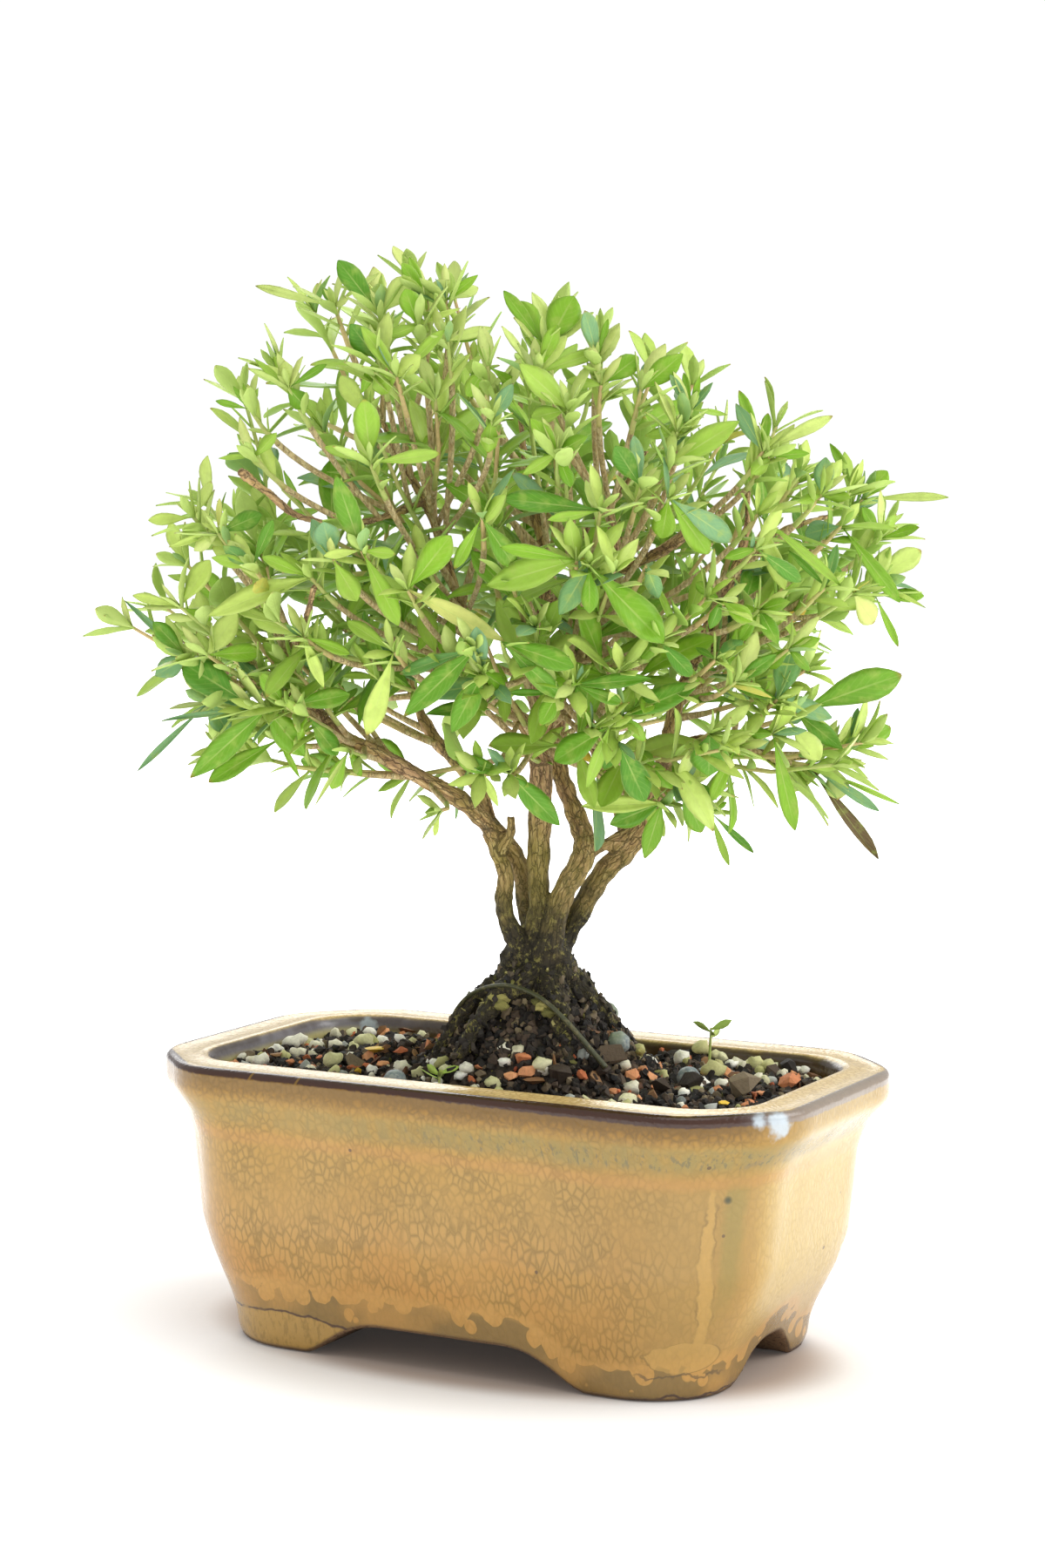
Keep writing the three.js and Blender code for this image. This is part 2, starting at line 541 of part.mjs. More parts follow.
// Leaf on a shoot: root, direction, upper side and size
function leafAt(shoot, pair, half, draws) {
  const young = pair / (shoot.pairCount - 1);
  const share = mix(shoot.split, 1, mix(PAIR_PLACES[0], PAIR_PLACES[1], young));
  const root = stemPoint(shoot, share);
  const stem = shoot.curve.getTangent(share);
  const across = new THREE.Vector3().crossVectors(stem, UP).normalize();
  const other = new THREE.Vector3().crossVectors(stem, across);
  const turn = pair * Math.PI / 2 + half * Math.PI + shoot.twist + (draws[0] - 0.5) * LEAF_TURN_SPREAD;
  const radial = across.multiplyScalar(Math.cos(turn)).addScaledVector(other, Math.sin(turn));
  const open = mix(LEAF_OPEN[0], LEAF_OPEN[1], young * young) + (draws[1] - 0.5) * LEAF_OPEN_SPREAD;
  const along = stem.clone().multiplyScalar(Math.cos(open)).addScaledVector(radial, Math.sin(open));
  const size = mix(LEAF_LENGTH[0], LEAF_LENGTH[1], draws[2]) * mix(1, YOUNG_SIZE, young ** 3);
  return {
    root,
    along: along.normalize(),
    stem,
    length: size,
    width: size * mix(LEAF_SLENDERNESS[0], LEAF_SLENDERNESS[1], draws[3]),
    droop: mix(LEAF_DROOP[0], LEAF_DROOP[1], draws[4]),
  };
}

// Upper side of a leaf, turned towards the light
function upperSide(leaf) {
  const up = leaf.stem.clone().multiplyScalar(0.8).addScaledVector(UP, 0.7);
  return up.addScaledVector(leaf.along, -up.dot(leaf.along)).normalize();
}

// Point of the blade: share of its length, and how far to the side from -1 to 1
function bladePoint(leaf, share, side, halfWidth) {
  const upper = upperSide(leaf);
  const across = new THREE.Vector3().crossVectors(leaf.along, upper);
  const lift = Math.abs(side) * halfWidth * BLADE_FOLD - leaf.length * leaf.droop * share * share;
  return leaf.root.clone()
    .addScaledVector(leaf.along, leaf.length * share)
    .addScaledVector(upper, lift)
    .addScaledVector(across, side * halfWidth);
}

// Share of the blade's length, and half of its width there as a share of its full width
const BLADE = [[0.3, 0.46], [0.66, 0.43]];
const YOUNG_BLADE = [[0.45, 0.5]];
const ROOT_HALF_WIDTH = 0.3;
const ROOT_DEPTH = 0.45;

// Three-sided rings along a blade, with a keel under its midrib, and its tip
function bladeRings(leaf, stations) {
  const upper = upperSide(leaf);
  const rings = stations.map(([share, spread]) => [
    bladePoint(leaf, share, 0, 0).addScaledVector(upper, -LEAF_THICKNESS),
    bladePoint(leaf, share, -1, leaf.width * spread),
    bladePoint(leaf, share, 1, leaf.width * spread),
  ]);
  return [...rings, [bladePoint(leaf, 1, 0, 0)]];
}

// Two opposite leaves in one piece through the stem, or one leaf rooted in its middle
function leafPairSolid([leaf, opposite], stations = BLADE) {
  const facing = opposite ? leaf.along.clone().sub(opposite.along) : leaf.along;
  const across = new THREE.Vector3().crossVectors(facing, leaf.stem).normalize();
  const root = [
    leaf.root.clone().addScaledVector(leaf.stem, -ROOT_DEPTH),
    leaf.root.clone().addScaledVector(across, -ROOT_HALF_WIDTH),
    leaf.root.clone().addScaledVector(across, ROOT_HALF_WIDTH),
  ];
  const mirrored = (ring) => (ring.length === 3 ? [ring[0], ring[2], ring[1]] : ring);
  const before = opposite ? bladeRings(opposite, stations).toReversed().map(mirrored) : [];
  return solidFrom(loft([...before, root, ...bladeRings(leaf, stations)]));
}

// Spots over a blade, for keeping clear of other pieces
function bladeSpots(leaf) {
  return [0.22, 0.38, 0.54, 0.7, 0.85, 1].flatMap((share) => {
    const halfWidth = leaf.width * 0.46 * Math.min(1, (1 - share) * 3 + 0.1);
    return [-1, 0, 1].map((side) => bladePoint(leaf, share, side, halfWidth));
  });
}

const SPOT_RADIUS = 1.25;
// Changes tried in turn on a leaf that would cross another piece: turn about the stem, and size
const TRIES = [[0, 1], [0.45, 1], [-0.45, 1], [0.9, 0.95], [-0.9, 0.95], [0.3, 0.75], [-0.3, 0.75]];

function clearOf(spots, obstacles) {
  return spots.every((spot) => obstacles.every((obstacle) => (
    spot.distanceToSquared(obstacle.at) >= (SPOT_RADIUS + obstacle.radius) ** 2)));
}

function growLeaves(shoots, samples) {
  const wood = samples.map((sample) => ({ at: sample.at, radius: sample.radius + 0.1 }));
  shoots.forEach((shoot) => {
    for (let step = 0; step <= 10; step += 1) {
      const at = shoot.curve.getPoint(shoot.split * step / 10);
      wood.push({ at, radius: TWIG_RADIUS });
    }
  });
  const stems = shoots.map((shoot) => Array.from({ length: 13 }, (_, step) => (
    { at: shoot.curve.getPoint(mix(shoot.split, 1, step / 12)), radius: SHOOT_RADIUS + 0.2 })));
  const placed = shoots.map(() => []);
  shoots.forEach((shoot, number) => {
    const draw = randomFrom(101 + number * 17);
    shoot.twist = draw() * Math.PI;
    shoot.pairCount = PAIRS_PER_SHOOT[number % PAIRS_PER_SHOOT.length];
    const others = wood.concat(...stems.filter((_, other) => other !== number));
    placed.forEach((spots, other) => {
      if (other !== number) others.push(...spots);
    });
    shoot.pairs = [];
    for (let pair = 0; pair < shoot.pairCount; pair += 1) {
      const leaves = [];
      for (let half = 0; half < 2; half += 1) {
        const draws = Array.from({ length: 5 }, draw);
        for (const [turn, size] of TRIES) {
          const leaf = leafAt(shoot, pair, half, draws.with(0, draws[0] + turn / LEAF_TURN_SPREAD));
          leaf.length *= size;
          leaf.width *= size;
          const spots = bladeSpots(leaf);
          if (!clearOf(spots, others)) continue;
          leaves.push(leaf);
          placed[number].push(...spots.map((at) => ({ at, radius: SPOT_RADIUS })));
          break;
        }
      }
      if (leaves.length > 0) shoot.pairs.push({ leaves, young: pair >= 2 });
    }
  });
}

function shootSolid(shoot) {
  const ahead = GAP / 2 / shoot.length;
  const radius = (share) => mix(SHOOT_RADIUS, SHOOT_END_RADIUS, (share - shoot.split) / (1 - shoot.split));
  const stem = tube(shoot.curve, radius, 3, 2, shoot.split + ahead, 1);
  const pairs = shoot.pairs.map(({ leaves, young }) => leafPairSolid(leaves, young ? YOUNG_BLADE : BLADE));
  return joined([solidFrom(stem), ...pairs]);
}

function twigSolid(shoot) {
  const end = shoot.split - GAP / 2 / shoot.length;
  const radius = (share) => mix(shoot.base, SHOOT_RADIUS, share / end);
  return solidFrom(tube(shoot.curve, radius, 3, 2, 0, end));
}

function makeWood(shoots) {
  const limbs = Object.values(LIMBS).map((points) => {
    const sides = points[0][3] > THICK_LIMB ? 5 : 4;
    const steps = Math.ceil((points.length - 1) * STEPS_PER_POINT);
    return solidFrom(tube(limbCurve(points), radiusAlong(points), sides, steps));
  });
  return joined([rootWood(0), ...limbs, ...shoots.map(twigSolid)]);
}

function seedlingSolid([x, y, height, leaves, size], margin = 0) {
  const foot = new THREE.Vector3(x, y, soilHeight(x, y) - 4);
  const top = new THREE.Vector3(x + 0.6, y, soilHeight(x, y) + height);
  const curve = new THREE.LineCurve3(foot, top);
  const stem = solidFrom(tube(curve, () => 0.5 + margin, 5, 1, margin > 0 ? -0.05 : 0, 1));
  if (margin > 0) return stem;
  const blades = Array.from({ length: leaves }, (_, number) => {
    const angle = number * GOLDEN_ANGLE;
    const along = new THREE.Vector3(Math.cos(angle), Math.sin(angle), 0.45).normalize();
    const root = curve.getPoint(mix(0.97, 0.8, number / leaves));
    const leaf = { root, along, stem: UP, length: size, width: size * 0.5, droop: 0.1 };
    return leafPairSolid([leaf], YOUNG_BLADE);
  });
  return joined([stem, ...blades]);
}

const FINISHES = {
  glaze: { color: 0xb98f45, roughness: 0.25, metalness: 0 },
  soil: { color: 0x2b211a, roughness: 0.95, metalness: 0 },
  bark: { color: 0xa88a5c, roughness: 0.85, metalness: 0 },
  leaf: { color: 0x5f9a2c, roughness: 0.5, metalness: 0 },
  wire: { color: 0x4b5230, roughness: 0.5, metalness: 0 },
  pellet: { color: 0x7f8f92, roughness: 0.6, metalness: 0 },
  screen: { color: 0x1c1c1c, roughness: 0.7, metalness: 0 },
};

function addPiece(group, name, solid, finish) {
  const mesh = new THREE.Mesh(geometryFrom(solid), new THREE.MeshStandardMaterial(FINISHES[finish]));
  mesh.name = name;
  group.add(mesh);
}

const samples = limbSamples();
const shoots = TIPS.map((tip) => growShoot(tip, samples));
growLeaves(shoots, samples);

const part = new THREE.Group();
const tree = new THREE.Group();
tree.rotation.z = TREE_TURN;
part.add(tree);

addPiece(part, "pot", makePot(), "glaze");
[-DRAIN_OFFSET, DRAIN_OFFSET].forEach((x, number) => {
  addPiece(part, `drain_screen_${number + 1}`, makeScreen(x), "screen");
});

const tieWay = tieTube(GAP);
const soilCuts = joined([rootWood(GAP), tieWay, ...PELLETS.map(pelletHollow),
  ...SEEDLINGS.map((seedling) => seedlingSolid(seedling, GAP))]);
let soil = joined([soilBlock(), ...stones()]).intersect(cavity(GAP, CAVITY_FLOOR + GAP, POT_HEIGHT + 40));
soil = soil.subtract(soilCuts.transform(new THREE.Matrix4().makeRotationZ(TREE_TURN).toArray()));
[-DRAIN_OFFSET, DRAIN_OFFSET].forEach((x) => {
  const side = SCREEN_SIZE + 2 * GAP;
  const room = new THREE.BoxGeometry(side, side, 2 * (SCREEN_THICKNESS + 2 * GAP));
  soil = soil.subtract(solidFrom(room.translate(x, 0, CAVITY_FLOOR)));
});
addPiece(part, "soil", withoutScraps(soil), "soil");

addPiece(tree, "wood", withoutScraps(makeWood(shoots).subtract(tieWay)), "bark");
addPiece(tree, "tie_wire", tieTube(0), "wire");
PELLETS.forEach((place, number) => addPiece(tree, `pellet_${number + 1}`, pellet(place), "pellet"));
SEEDLINGS.forEach((seedling, number) => {
  addPiece(tree, `seedling_${number + 1}`, seedlingSolid(seedling), "leaf");
});
shoots.forEach((shoot, number) => {
  addPiece(tree, `shoot_${String(number + 1).padStart(2, "0")}`, shootSolid(shoot), "leaf");
});

// Bring the middle of the whole outline over the origin
part.updateMatrixWorld(true);
const outline = new THREE.Box3().setFromObject(part, true);
part.position.set(-(outline.min.x + outline.max.x) / 2, -(outline.min.y + outline.max.y) / 2, 0);

export default part;
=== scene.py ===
"""A serissa bonsai in its glazed pot: the looks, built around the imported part."""
import json
import math

import bmesh
import bpy
import numpy as np
from mathutils import Matrix, Vector, noise

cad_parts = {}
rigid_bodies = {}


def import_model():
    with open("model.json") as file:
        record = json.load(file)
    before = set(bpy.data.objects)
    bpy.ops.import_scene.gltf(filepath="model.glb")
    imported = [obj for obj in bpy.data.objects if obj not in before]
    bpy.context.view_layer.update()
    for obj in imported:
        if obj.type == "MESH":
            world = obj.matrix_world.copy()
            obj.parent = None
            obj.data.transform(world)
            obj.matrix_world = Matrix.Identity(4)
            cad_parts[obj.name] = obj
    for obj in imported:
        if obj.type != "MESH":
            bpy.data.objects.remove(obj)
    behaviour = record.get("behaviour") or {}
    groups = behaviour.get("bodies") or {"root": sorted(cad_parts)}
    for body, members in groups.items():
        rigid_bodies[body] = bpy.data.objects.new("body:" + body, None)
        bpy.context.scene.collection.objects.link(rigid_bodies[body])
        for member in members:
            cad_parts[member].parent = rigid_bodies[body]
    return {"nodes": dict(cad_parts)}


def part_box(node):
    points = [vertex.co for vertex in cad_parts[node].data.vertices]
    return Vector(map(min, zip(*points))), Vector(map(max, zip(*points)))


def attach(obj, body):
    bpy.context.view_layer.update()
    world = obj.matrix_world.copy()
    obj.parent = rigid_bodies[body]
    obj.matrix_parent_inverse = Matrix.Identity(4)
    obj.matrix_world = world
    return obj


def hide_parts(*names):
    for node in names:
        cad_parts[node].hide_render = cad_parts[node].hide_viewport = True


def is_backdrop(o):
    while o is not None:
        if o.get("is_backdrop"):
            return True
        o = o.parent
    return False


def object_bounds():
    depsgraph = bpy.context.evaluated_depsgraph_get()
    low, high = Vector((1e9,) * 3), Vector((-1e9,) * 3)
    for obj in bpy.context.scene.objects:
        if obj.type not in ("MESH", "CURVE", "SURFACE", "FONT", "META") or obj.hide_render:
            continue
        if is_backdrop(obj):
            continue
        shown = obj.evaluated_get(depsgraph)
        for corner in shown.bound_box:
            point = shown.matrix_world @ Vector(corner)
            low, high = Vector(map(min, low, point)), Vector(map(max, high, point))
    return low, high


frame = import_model()

bl_info = {
    "name": "Serissa bonsai in a glazed pot",
    "version": (1, 0, 0),
    "blender": (4, 5, 0),
    "location": "3D View > Sidebar > Bonsai",
    "description": "Glazed pot, litter, bark and leaves around the packed bonsai, with its studio",
    "category": "Object",
}

MM = 0.001
LOADED_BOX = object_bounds()
POT_LOW, POT_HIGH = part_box("pot")
POT_X = (POT_LOW.x + POT_HIGH.x) / 2
POT_Y = (POT_LOW.y + POT_HIGH.y) / 2
TREE_TURN = math.radians(28.6)

# Pot, in millimetres: outside of the lip, then how far the walls have drawn in at the feet
POT_LENGTH, POT_WIDTH, POT_HEIGHT = 150.0, 86.7, 61.4
LIP_CUT, LIP_WIDTH = 16.9, 10.8
FOOT_INSET_X, FOOT_INSET_Y, FOOT_CUT_X, FOOT_CUT_Y = 18.9, 9.1, 10.8, 9.0
WALL_PROFILE = [
    (0, 1), (2.4, .93), (6, .91), (10, .83), (14, .72), (19, .59), (26, .46), (36, .4), (45, .35),
    (50, .25), (53.4, .1), (55.6, 0), (60.6, 0), (61.4, .0),
]
CAVITY_FLOOR, CAVITY_CORNER, CAVITY_TAPER = 14.0, 14.0, 8.0
FOOT_FLAT_X, FOOT_FLAT_Y, ARCH_RUN_X, ARCH_RUN_Y = 33.0, 15.0, 17.0, 12.0
ARCH_HEIGHT, ARCH_HASTE, ARCH_SWELL = 7.8, 1.15, 0.6
DRAIN_RADIUS, DRAIN_OFFSET = 5.5, 28.0
EDGE_EASE, CAVITY_EASE = 8.0, 6.0
RIPPLE_SCALE, RIPPLE_HEIGHT = 0.035, 0.22
# What a straight cut takes off each side of a round corner, as a share of its radius
CUT_SHARE = 0.586
# The photograph shows the pot a little longer than the part, and more so at its right end
POT_STRETCH, POT_STRETCH_RIGHT = 1.017, 0.009

# Soil, in millimetres
SOIL_LEVEL, MOUND_RISE, MOUND_X, MOUND_RADIUS_X, MOUND_RADIUS_Y = 57.2, 21.0, 4.0, 27.0, 26.0
SOIL_GAP = 0.45
PELLET_RADIUS = 2.5
PELLETS = [(18.5, 7), (23, -11), (36, -11), (-26.5, -14.5), (14, 16)]
HEAPS = [(40, 20, 4.5, 9), (-24, 14, 5.5, 9)]
PELLET_SHIFTS = np.array([(0.4, -3.0, -0.4), (-2.0, 0.0, 2.6), (0.0, 0.0, 0.0)])
SEEDLINGS = [(-17.5, -17, 4, 5, 4.5), (41, 4, 10, 4, 5)]

# Tree, in millimetres, in its own axes: x across the view that it is trained for
LEAF_LENGTH, LEAF_SLENDERNESS = (11.5, 19), (0.27, 0.35)
PAIRS_PER_SHOOT = (4, 3, 3)
SHOOT_LENGTH, SHOOT_RADIUS, SHOOT_END_RADIUS, TWIG_RADIUS = 31, 0.62, 0.36, 0.95
LEAFY_SHARE, TWIG_START, TWIG_SAG, TWIG_LIFT = 0.72, 0.3, 0.04, 0.35
PAIR_PLACES, LEAF_OPEN, LEAF_OPEN_SPREAD, LEAF_TURN_SPREAD = (0.14, 0.96), (1.15, 0.45), 0.35, 0.7
LEAF_DROOP, YOUNG_SIZE, BLADE_FOLD = (-0.02, 0.2), 0.62, 0.16
SPOT_RADIUS = 1.25
WOOD_GRAIN = 0.54
# Further shoots and shown sprays: room between leaves and between shoots, thin twigs, short stems,
# the height below which twigs are half as long, and how the crown is hollow below
LEAF_GAP, SHOOT_GAP, INNER_TWIG_RADIUS, SHOWN_TWIG_RADIUS, SHOWN_LENGTH = 1.5, 8, 0.75, 0.6, 9
LOW_CROWN, FLOOR_LOW, FLOOR_RISE, FLOOR_REACH = 150, 131, 24, 42
TRIES = [(0, 1), (.45, 1), (-.45, 1), (.9, .95), (-.9, .95), (.3, .75), (-.3, .75)]
HEART = np.array([3.0, 0.0, 128.0])
TWIG_REACH, LOWEST_TWIG = 44, 122
UP = np.array([0.0, 0.0, 1.0])
LIMBS = {
    "left_lower": [(.5, -2, 84, 2.2), (-2.5, -3, 91.5, 2), (-3.5, -3, 96, 1.9), (-3, -3, 101, 1.8),
        (-4.5, -3, 105.5, 1.8), (-6.5, -3, 111, 2)],
    "left": [(3, 4, 84, 2.4), (1, 4, 98.5, 2.1), (-1, 1, 105.5, 2), (-6.5, -3, 112, 2),
        (-12.5, -6, 118, 1.9), (-21.5, -10, 123.5, 1.8), (-30.5, -14, 129, 1.7), (-38, -18, 133, 1.6),
        (-44, -20, 141, 1.4), (-47, -20, 147.5, 1.3), (-50, -17, 158.5, 1.1), (-54.5, -14, 167, 1)],
    "left_back": [(-5.5, -1, 111.5, 1.7), (-9.5, 6, 119.5, 1.6), (-14.5, 12, 125, 1.5),
        (-19.5, 18, 130.5, 1.5), (-23.5, 24, 138, 1.4), (-26, 30, 145, 1.3),
        (-29.5, 34, 156.5, 1.1), (-32.5, 38, 165, 1)],
    "centre": [(3.5, -1, 84, 2.6), (4, -2, 96.5, 2.4), (4, -2, 107, 2.5), (4.5, -2, 119, 2.5),
        (4.5, -1, 128.5, 2.3), (4, 0, 139.5, 2), (4, 0, 150.5, 1.8), (5.5, 2, 162, 1.6),
        (4.5, 4, 173, 1.4), (2, 6, 184, 1.2), (.5, 7, 195, 1), (0, 6, 204, .8)],
    "crown_left": [(4.5, -2, 127, 1.8), (0, -8, 135.5, 1.7), (-6, -13, 144, 1.6), (-9.5, -17, 152.5, 1.5),
        (-13, -20, 162.5, 1.4), (-16.5, -22, 173.5, 1.3), (-20, -22, 182.5, 1.2),
        (-24.5, -20, 189.5, 1.1), (-28.5, -17, 198, .9)],
    "front": [(6, -4, 84, 2.5), (9, -5, 97, 2.5), (12.5, -5, 103.5, 2.7), (14, -3, 108, 2.6),
        (12.5, 1, 113, 2.2), (10, 6, 119.5, 2.1), (8, 10, 125.5, 2), (8.5, 14, 134.5, 1.8),
        (10, 18, 146, 1.6), (12, 21, 159, 1.4), (11.5, 22, 172.5, 1.2), (10.5, 20, 186, 1.1),
        (10, 16, 197, .9)],
    "right": [(8, 2, 83, 2.5), (13.5, 2, 94, 2.4), (18, 1, 101.5, 2.4), (22.5, 0, 106.5, 2.5),
        (27, -1, 112.5, 2.2), (30, -3, 121, 1.9), (31.5, -5, 130.5, 1.8), (33.5, -8, 140, 1.7),
        (37, -10, 148.5, 1.5), (40, -12, 156.5, 1.3), (43, -13, 162, 1.2), (47, -13, 169, 1)],
    "link": [(14.5, -3, 106, 1.4), (18.5, -1.5, 108, 1.3), (22.5, 0, 109.5, 1.4)],
    "right_inner": [(23.5, 1, 109.5, 2), (21, 5, 118, 1.9), (17.5, 9, 125, 1.8), (15, 13, 133, 1.6),
        (14.5, 17, 142, 1.5), (16.5, 22, 151.5, 1.4), (20, 28, 160.5, 1.2),
        (22.5, 33, 172, 1.1), (23.5, 36, 183.5, .9)],
    "front_bough": [(5, -4, 130.5, 1.6), (8, -14, 140.5, 1.5), (11.5, -24, 150.5, 1.4),
        (16.5, -32, 159.5, 1.2), (19, -38, 169, 1.1), (18, -41, 179.5, .9)],
    "back_bough": [(9.5, 16, 138.5, 1.5), (7.5, 28, 144.5, 1.4), (3, 38, 151.5, 1.3), (-1, 46, 158, 1.1),
        (-4, 50, 167.5, .9)],
    "right_low": [(32, -6, 127, 1.3), (37, -10, 131, 1.1), (43, -16, 132.5, 1), (49, -21, 133.5, .9),
        (54, -26, 135, .8)],
    "right_low_back": [(39, -11, 131.5, 1), (49, -8, 129, .9), (57.5, -4, 127, .8), (64.5, -2, 126.5, .7)],
    "right_mid": [(37, -10, 148, 1.2), (44, -7, 153, 1.1), (52.5, -3, 157, .9), (62, 0, 160, .8)],
    "right_top": [(47, -13, 168.5, 1), (52.5, -11, 174, .9), (60.5, -8, 177, .8), (66.5, -4, 178.5, .7)],
    "right_back": [(36, -9, 146, 1.3), (41, 6, 154, 1.2), (45, 20, 161.5, 1), (48, 32, 169, .8)],
    "right_front": [(42, -13, 160, 1.2), (44, -22, 167, 1.1), (46, -30, 175, 1), (46, -34, 184, .8)],
    "left_low": [(-40.5, -19, 136, 1.2), (-47.5, -22, 141.5, 1.1), (-57, -20, 145, 1),
        (-65.5, -14, 148, .9), (-72, -8, 152.5, .7)],
    "left_front": [(-46, -20, 145, 1.1), (-46, -32, 151, 1), (-43, -42, 158, .9), (-41, -49, 165, .8)],
    "left_far": [(-48, -19, 151, 1.1), (-53, -4, 156, 1), (-57, 9, 162, .9), (-61, 19, 170, .7)],
    "crown_right": [(5.5, 2, 165, 1.2), (13, -7, 174, 1.1), (20.5, -15, 183, 1), (26, -20, 192, .8)],
    "cut_branch": [(5, 1, 158.5, 1.5), (16, -14, 165, 1.5), (23, -26, 168.5, 1.5), (30, -36, 172.5, 1.6),
        (34.5, -42, 176.5, 1.7)],
    "cut_left": [(-19.5, -22, 181.5, 1.0), (-31.5, -34, 177.5, 1.0), (-43.5, -42, 178.5, 1.0),
        (-50, -46, 183.5, 0.95), (-55.5, -50, 188, 0.9)],
    "stub": [(-3.5, -4, 107.5, 1.2), (-2, -5, 111, 1.1), (-1.8, -5.4, 114.5, 1)],
}
ROOTS = [
    [(3, -4, 80, 3.2), (-4, -9, 76.5, 2.4), (-9, -13, 71, 1.8), (-13, -16, 64, 1.2)],
    [(6, -4, 80, 3.4), (8, -10, 75.5, 2.6), (9, -15, 70, 2), (11, -20, 62, 1.2)],
    [(2, 0, 80, 3), (-7, -2, 76, 2.2), (-13, -3, 70, 1.6), (-19, -5, 62, 1)],
    [(8, 0, 80, 3.2), (15, -2, 75, 2.4), (20, -3, 69, 1.6), (25, -4, 61, 1)],
    [(5, 4, 80, 3.2), (3, 10, 76, 2.4), (0, 15, 70, 1.8), (-2, 20, 61, 1.1)],
    [(8, 3, 80, 3), (14, 9, 75.5, 2.2), (18, 13, 69, 1.6), (22, 16, 61, 1)],
]
CROWN = [(64, 7, 6.5), (72, 9.8, 9), (80, 8.8, 7.2), (85.5, 7, 5.2), (88, 5.2, 4)]
CROWN_X = 4.5
TIE = [(-16, 2, 60), (-14.5, -1, 70), (-10, -6.5, 76.5), (-3, -11.5, 79), (4, -14.5, 77), (10, -17, 72),
       (15, -19.5, 66.5), (19, -21.5, 61.5), (21, -22.5, 54)]
TIE_RADIUS = 0.9
# Ends of the shoots that are nodes of the part
TIPS = [
    (-43, -9, 221), (-22.5, -2, 227.5), (-14, 10, 224.5), (-58.5, 0, 203), (-66, -6, 181),
    (-69, -20, 168.5), (-76, 4, 158.5), (-82, -8, 155), (-58.5, -32, 142), (-60.5, -20, 130),
    (-36.5, -8, 124.5), (-34, -48, 176.5), (-49, -44, 158), (-30.5, -36, 199), (-4, -44, 201.5),
    (6.5, -8, 218), (17.5, 12, 216), (28, -8, 208.5), (41, -33, 194), (54, -6, 197), (70.5, 2, 183),
    (79, 14, 175), (74.5, -10, 164), (58, -36, 147.5), (72, -14, 131), (65.5, -22, 127),
    (40.5, -43, 132), (38, -24, 121.5), (14.5, -48, 137), (-13, -50, 149.5), (3, -54, 157.5),
    (18.5, -58, 168.5), (9, -54, 189), (37, -50, 163), (-62, 30, 176), (-37, 52, 183), (-14, 60, 176),
    (14, 62, 168), (42, 54, 170), (64, 36, 160), (-50, 40, 148), (-20, 52, 142), (14, 55, 139),
    (46, 38, 138), (-30, 34, 206), (2, 40, 206),
]
# How the photograph was taken, in the tree's axes: millimetres, and its own pixels
VIEW_FROM = (-1.6, -711.8, 191.8)
VIEW_DIP = math.radians(5.695)
VIEW_FOCUS, VIEW_MIDDLE, VIEW_RISE = 3828.0, 588.0, 900.0
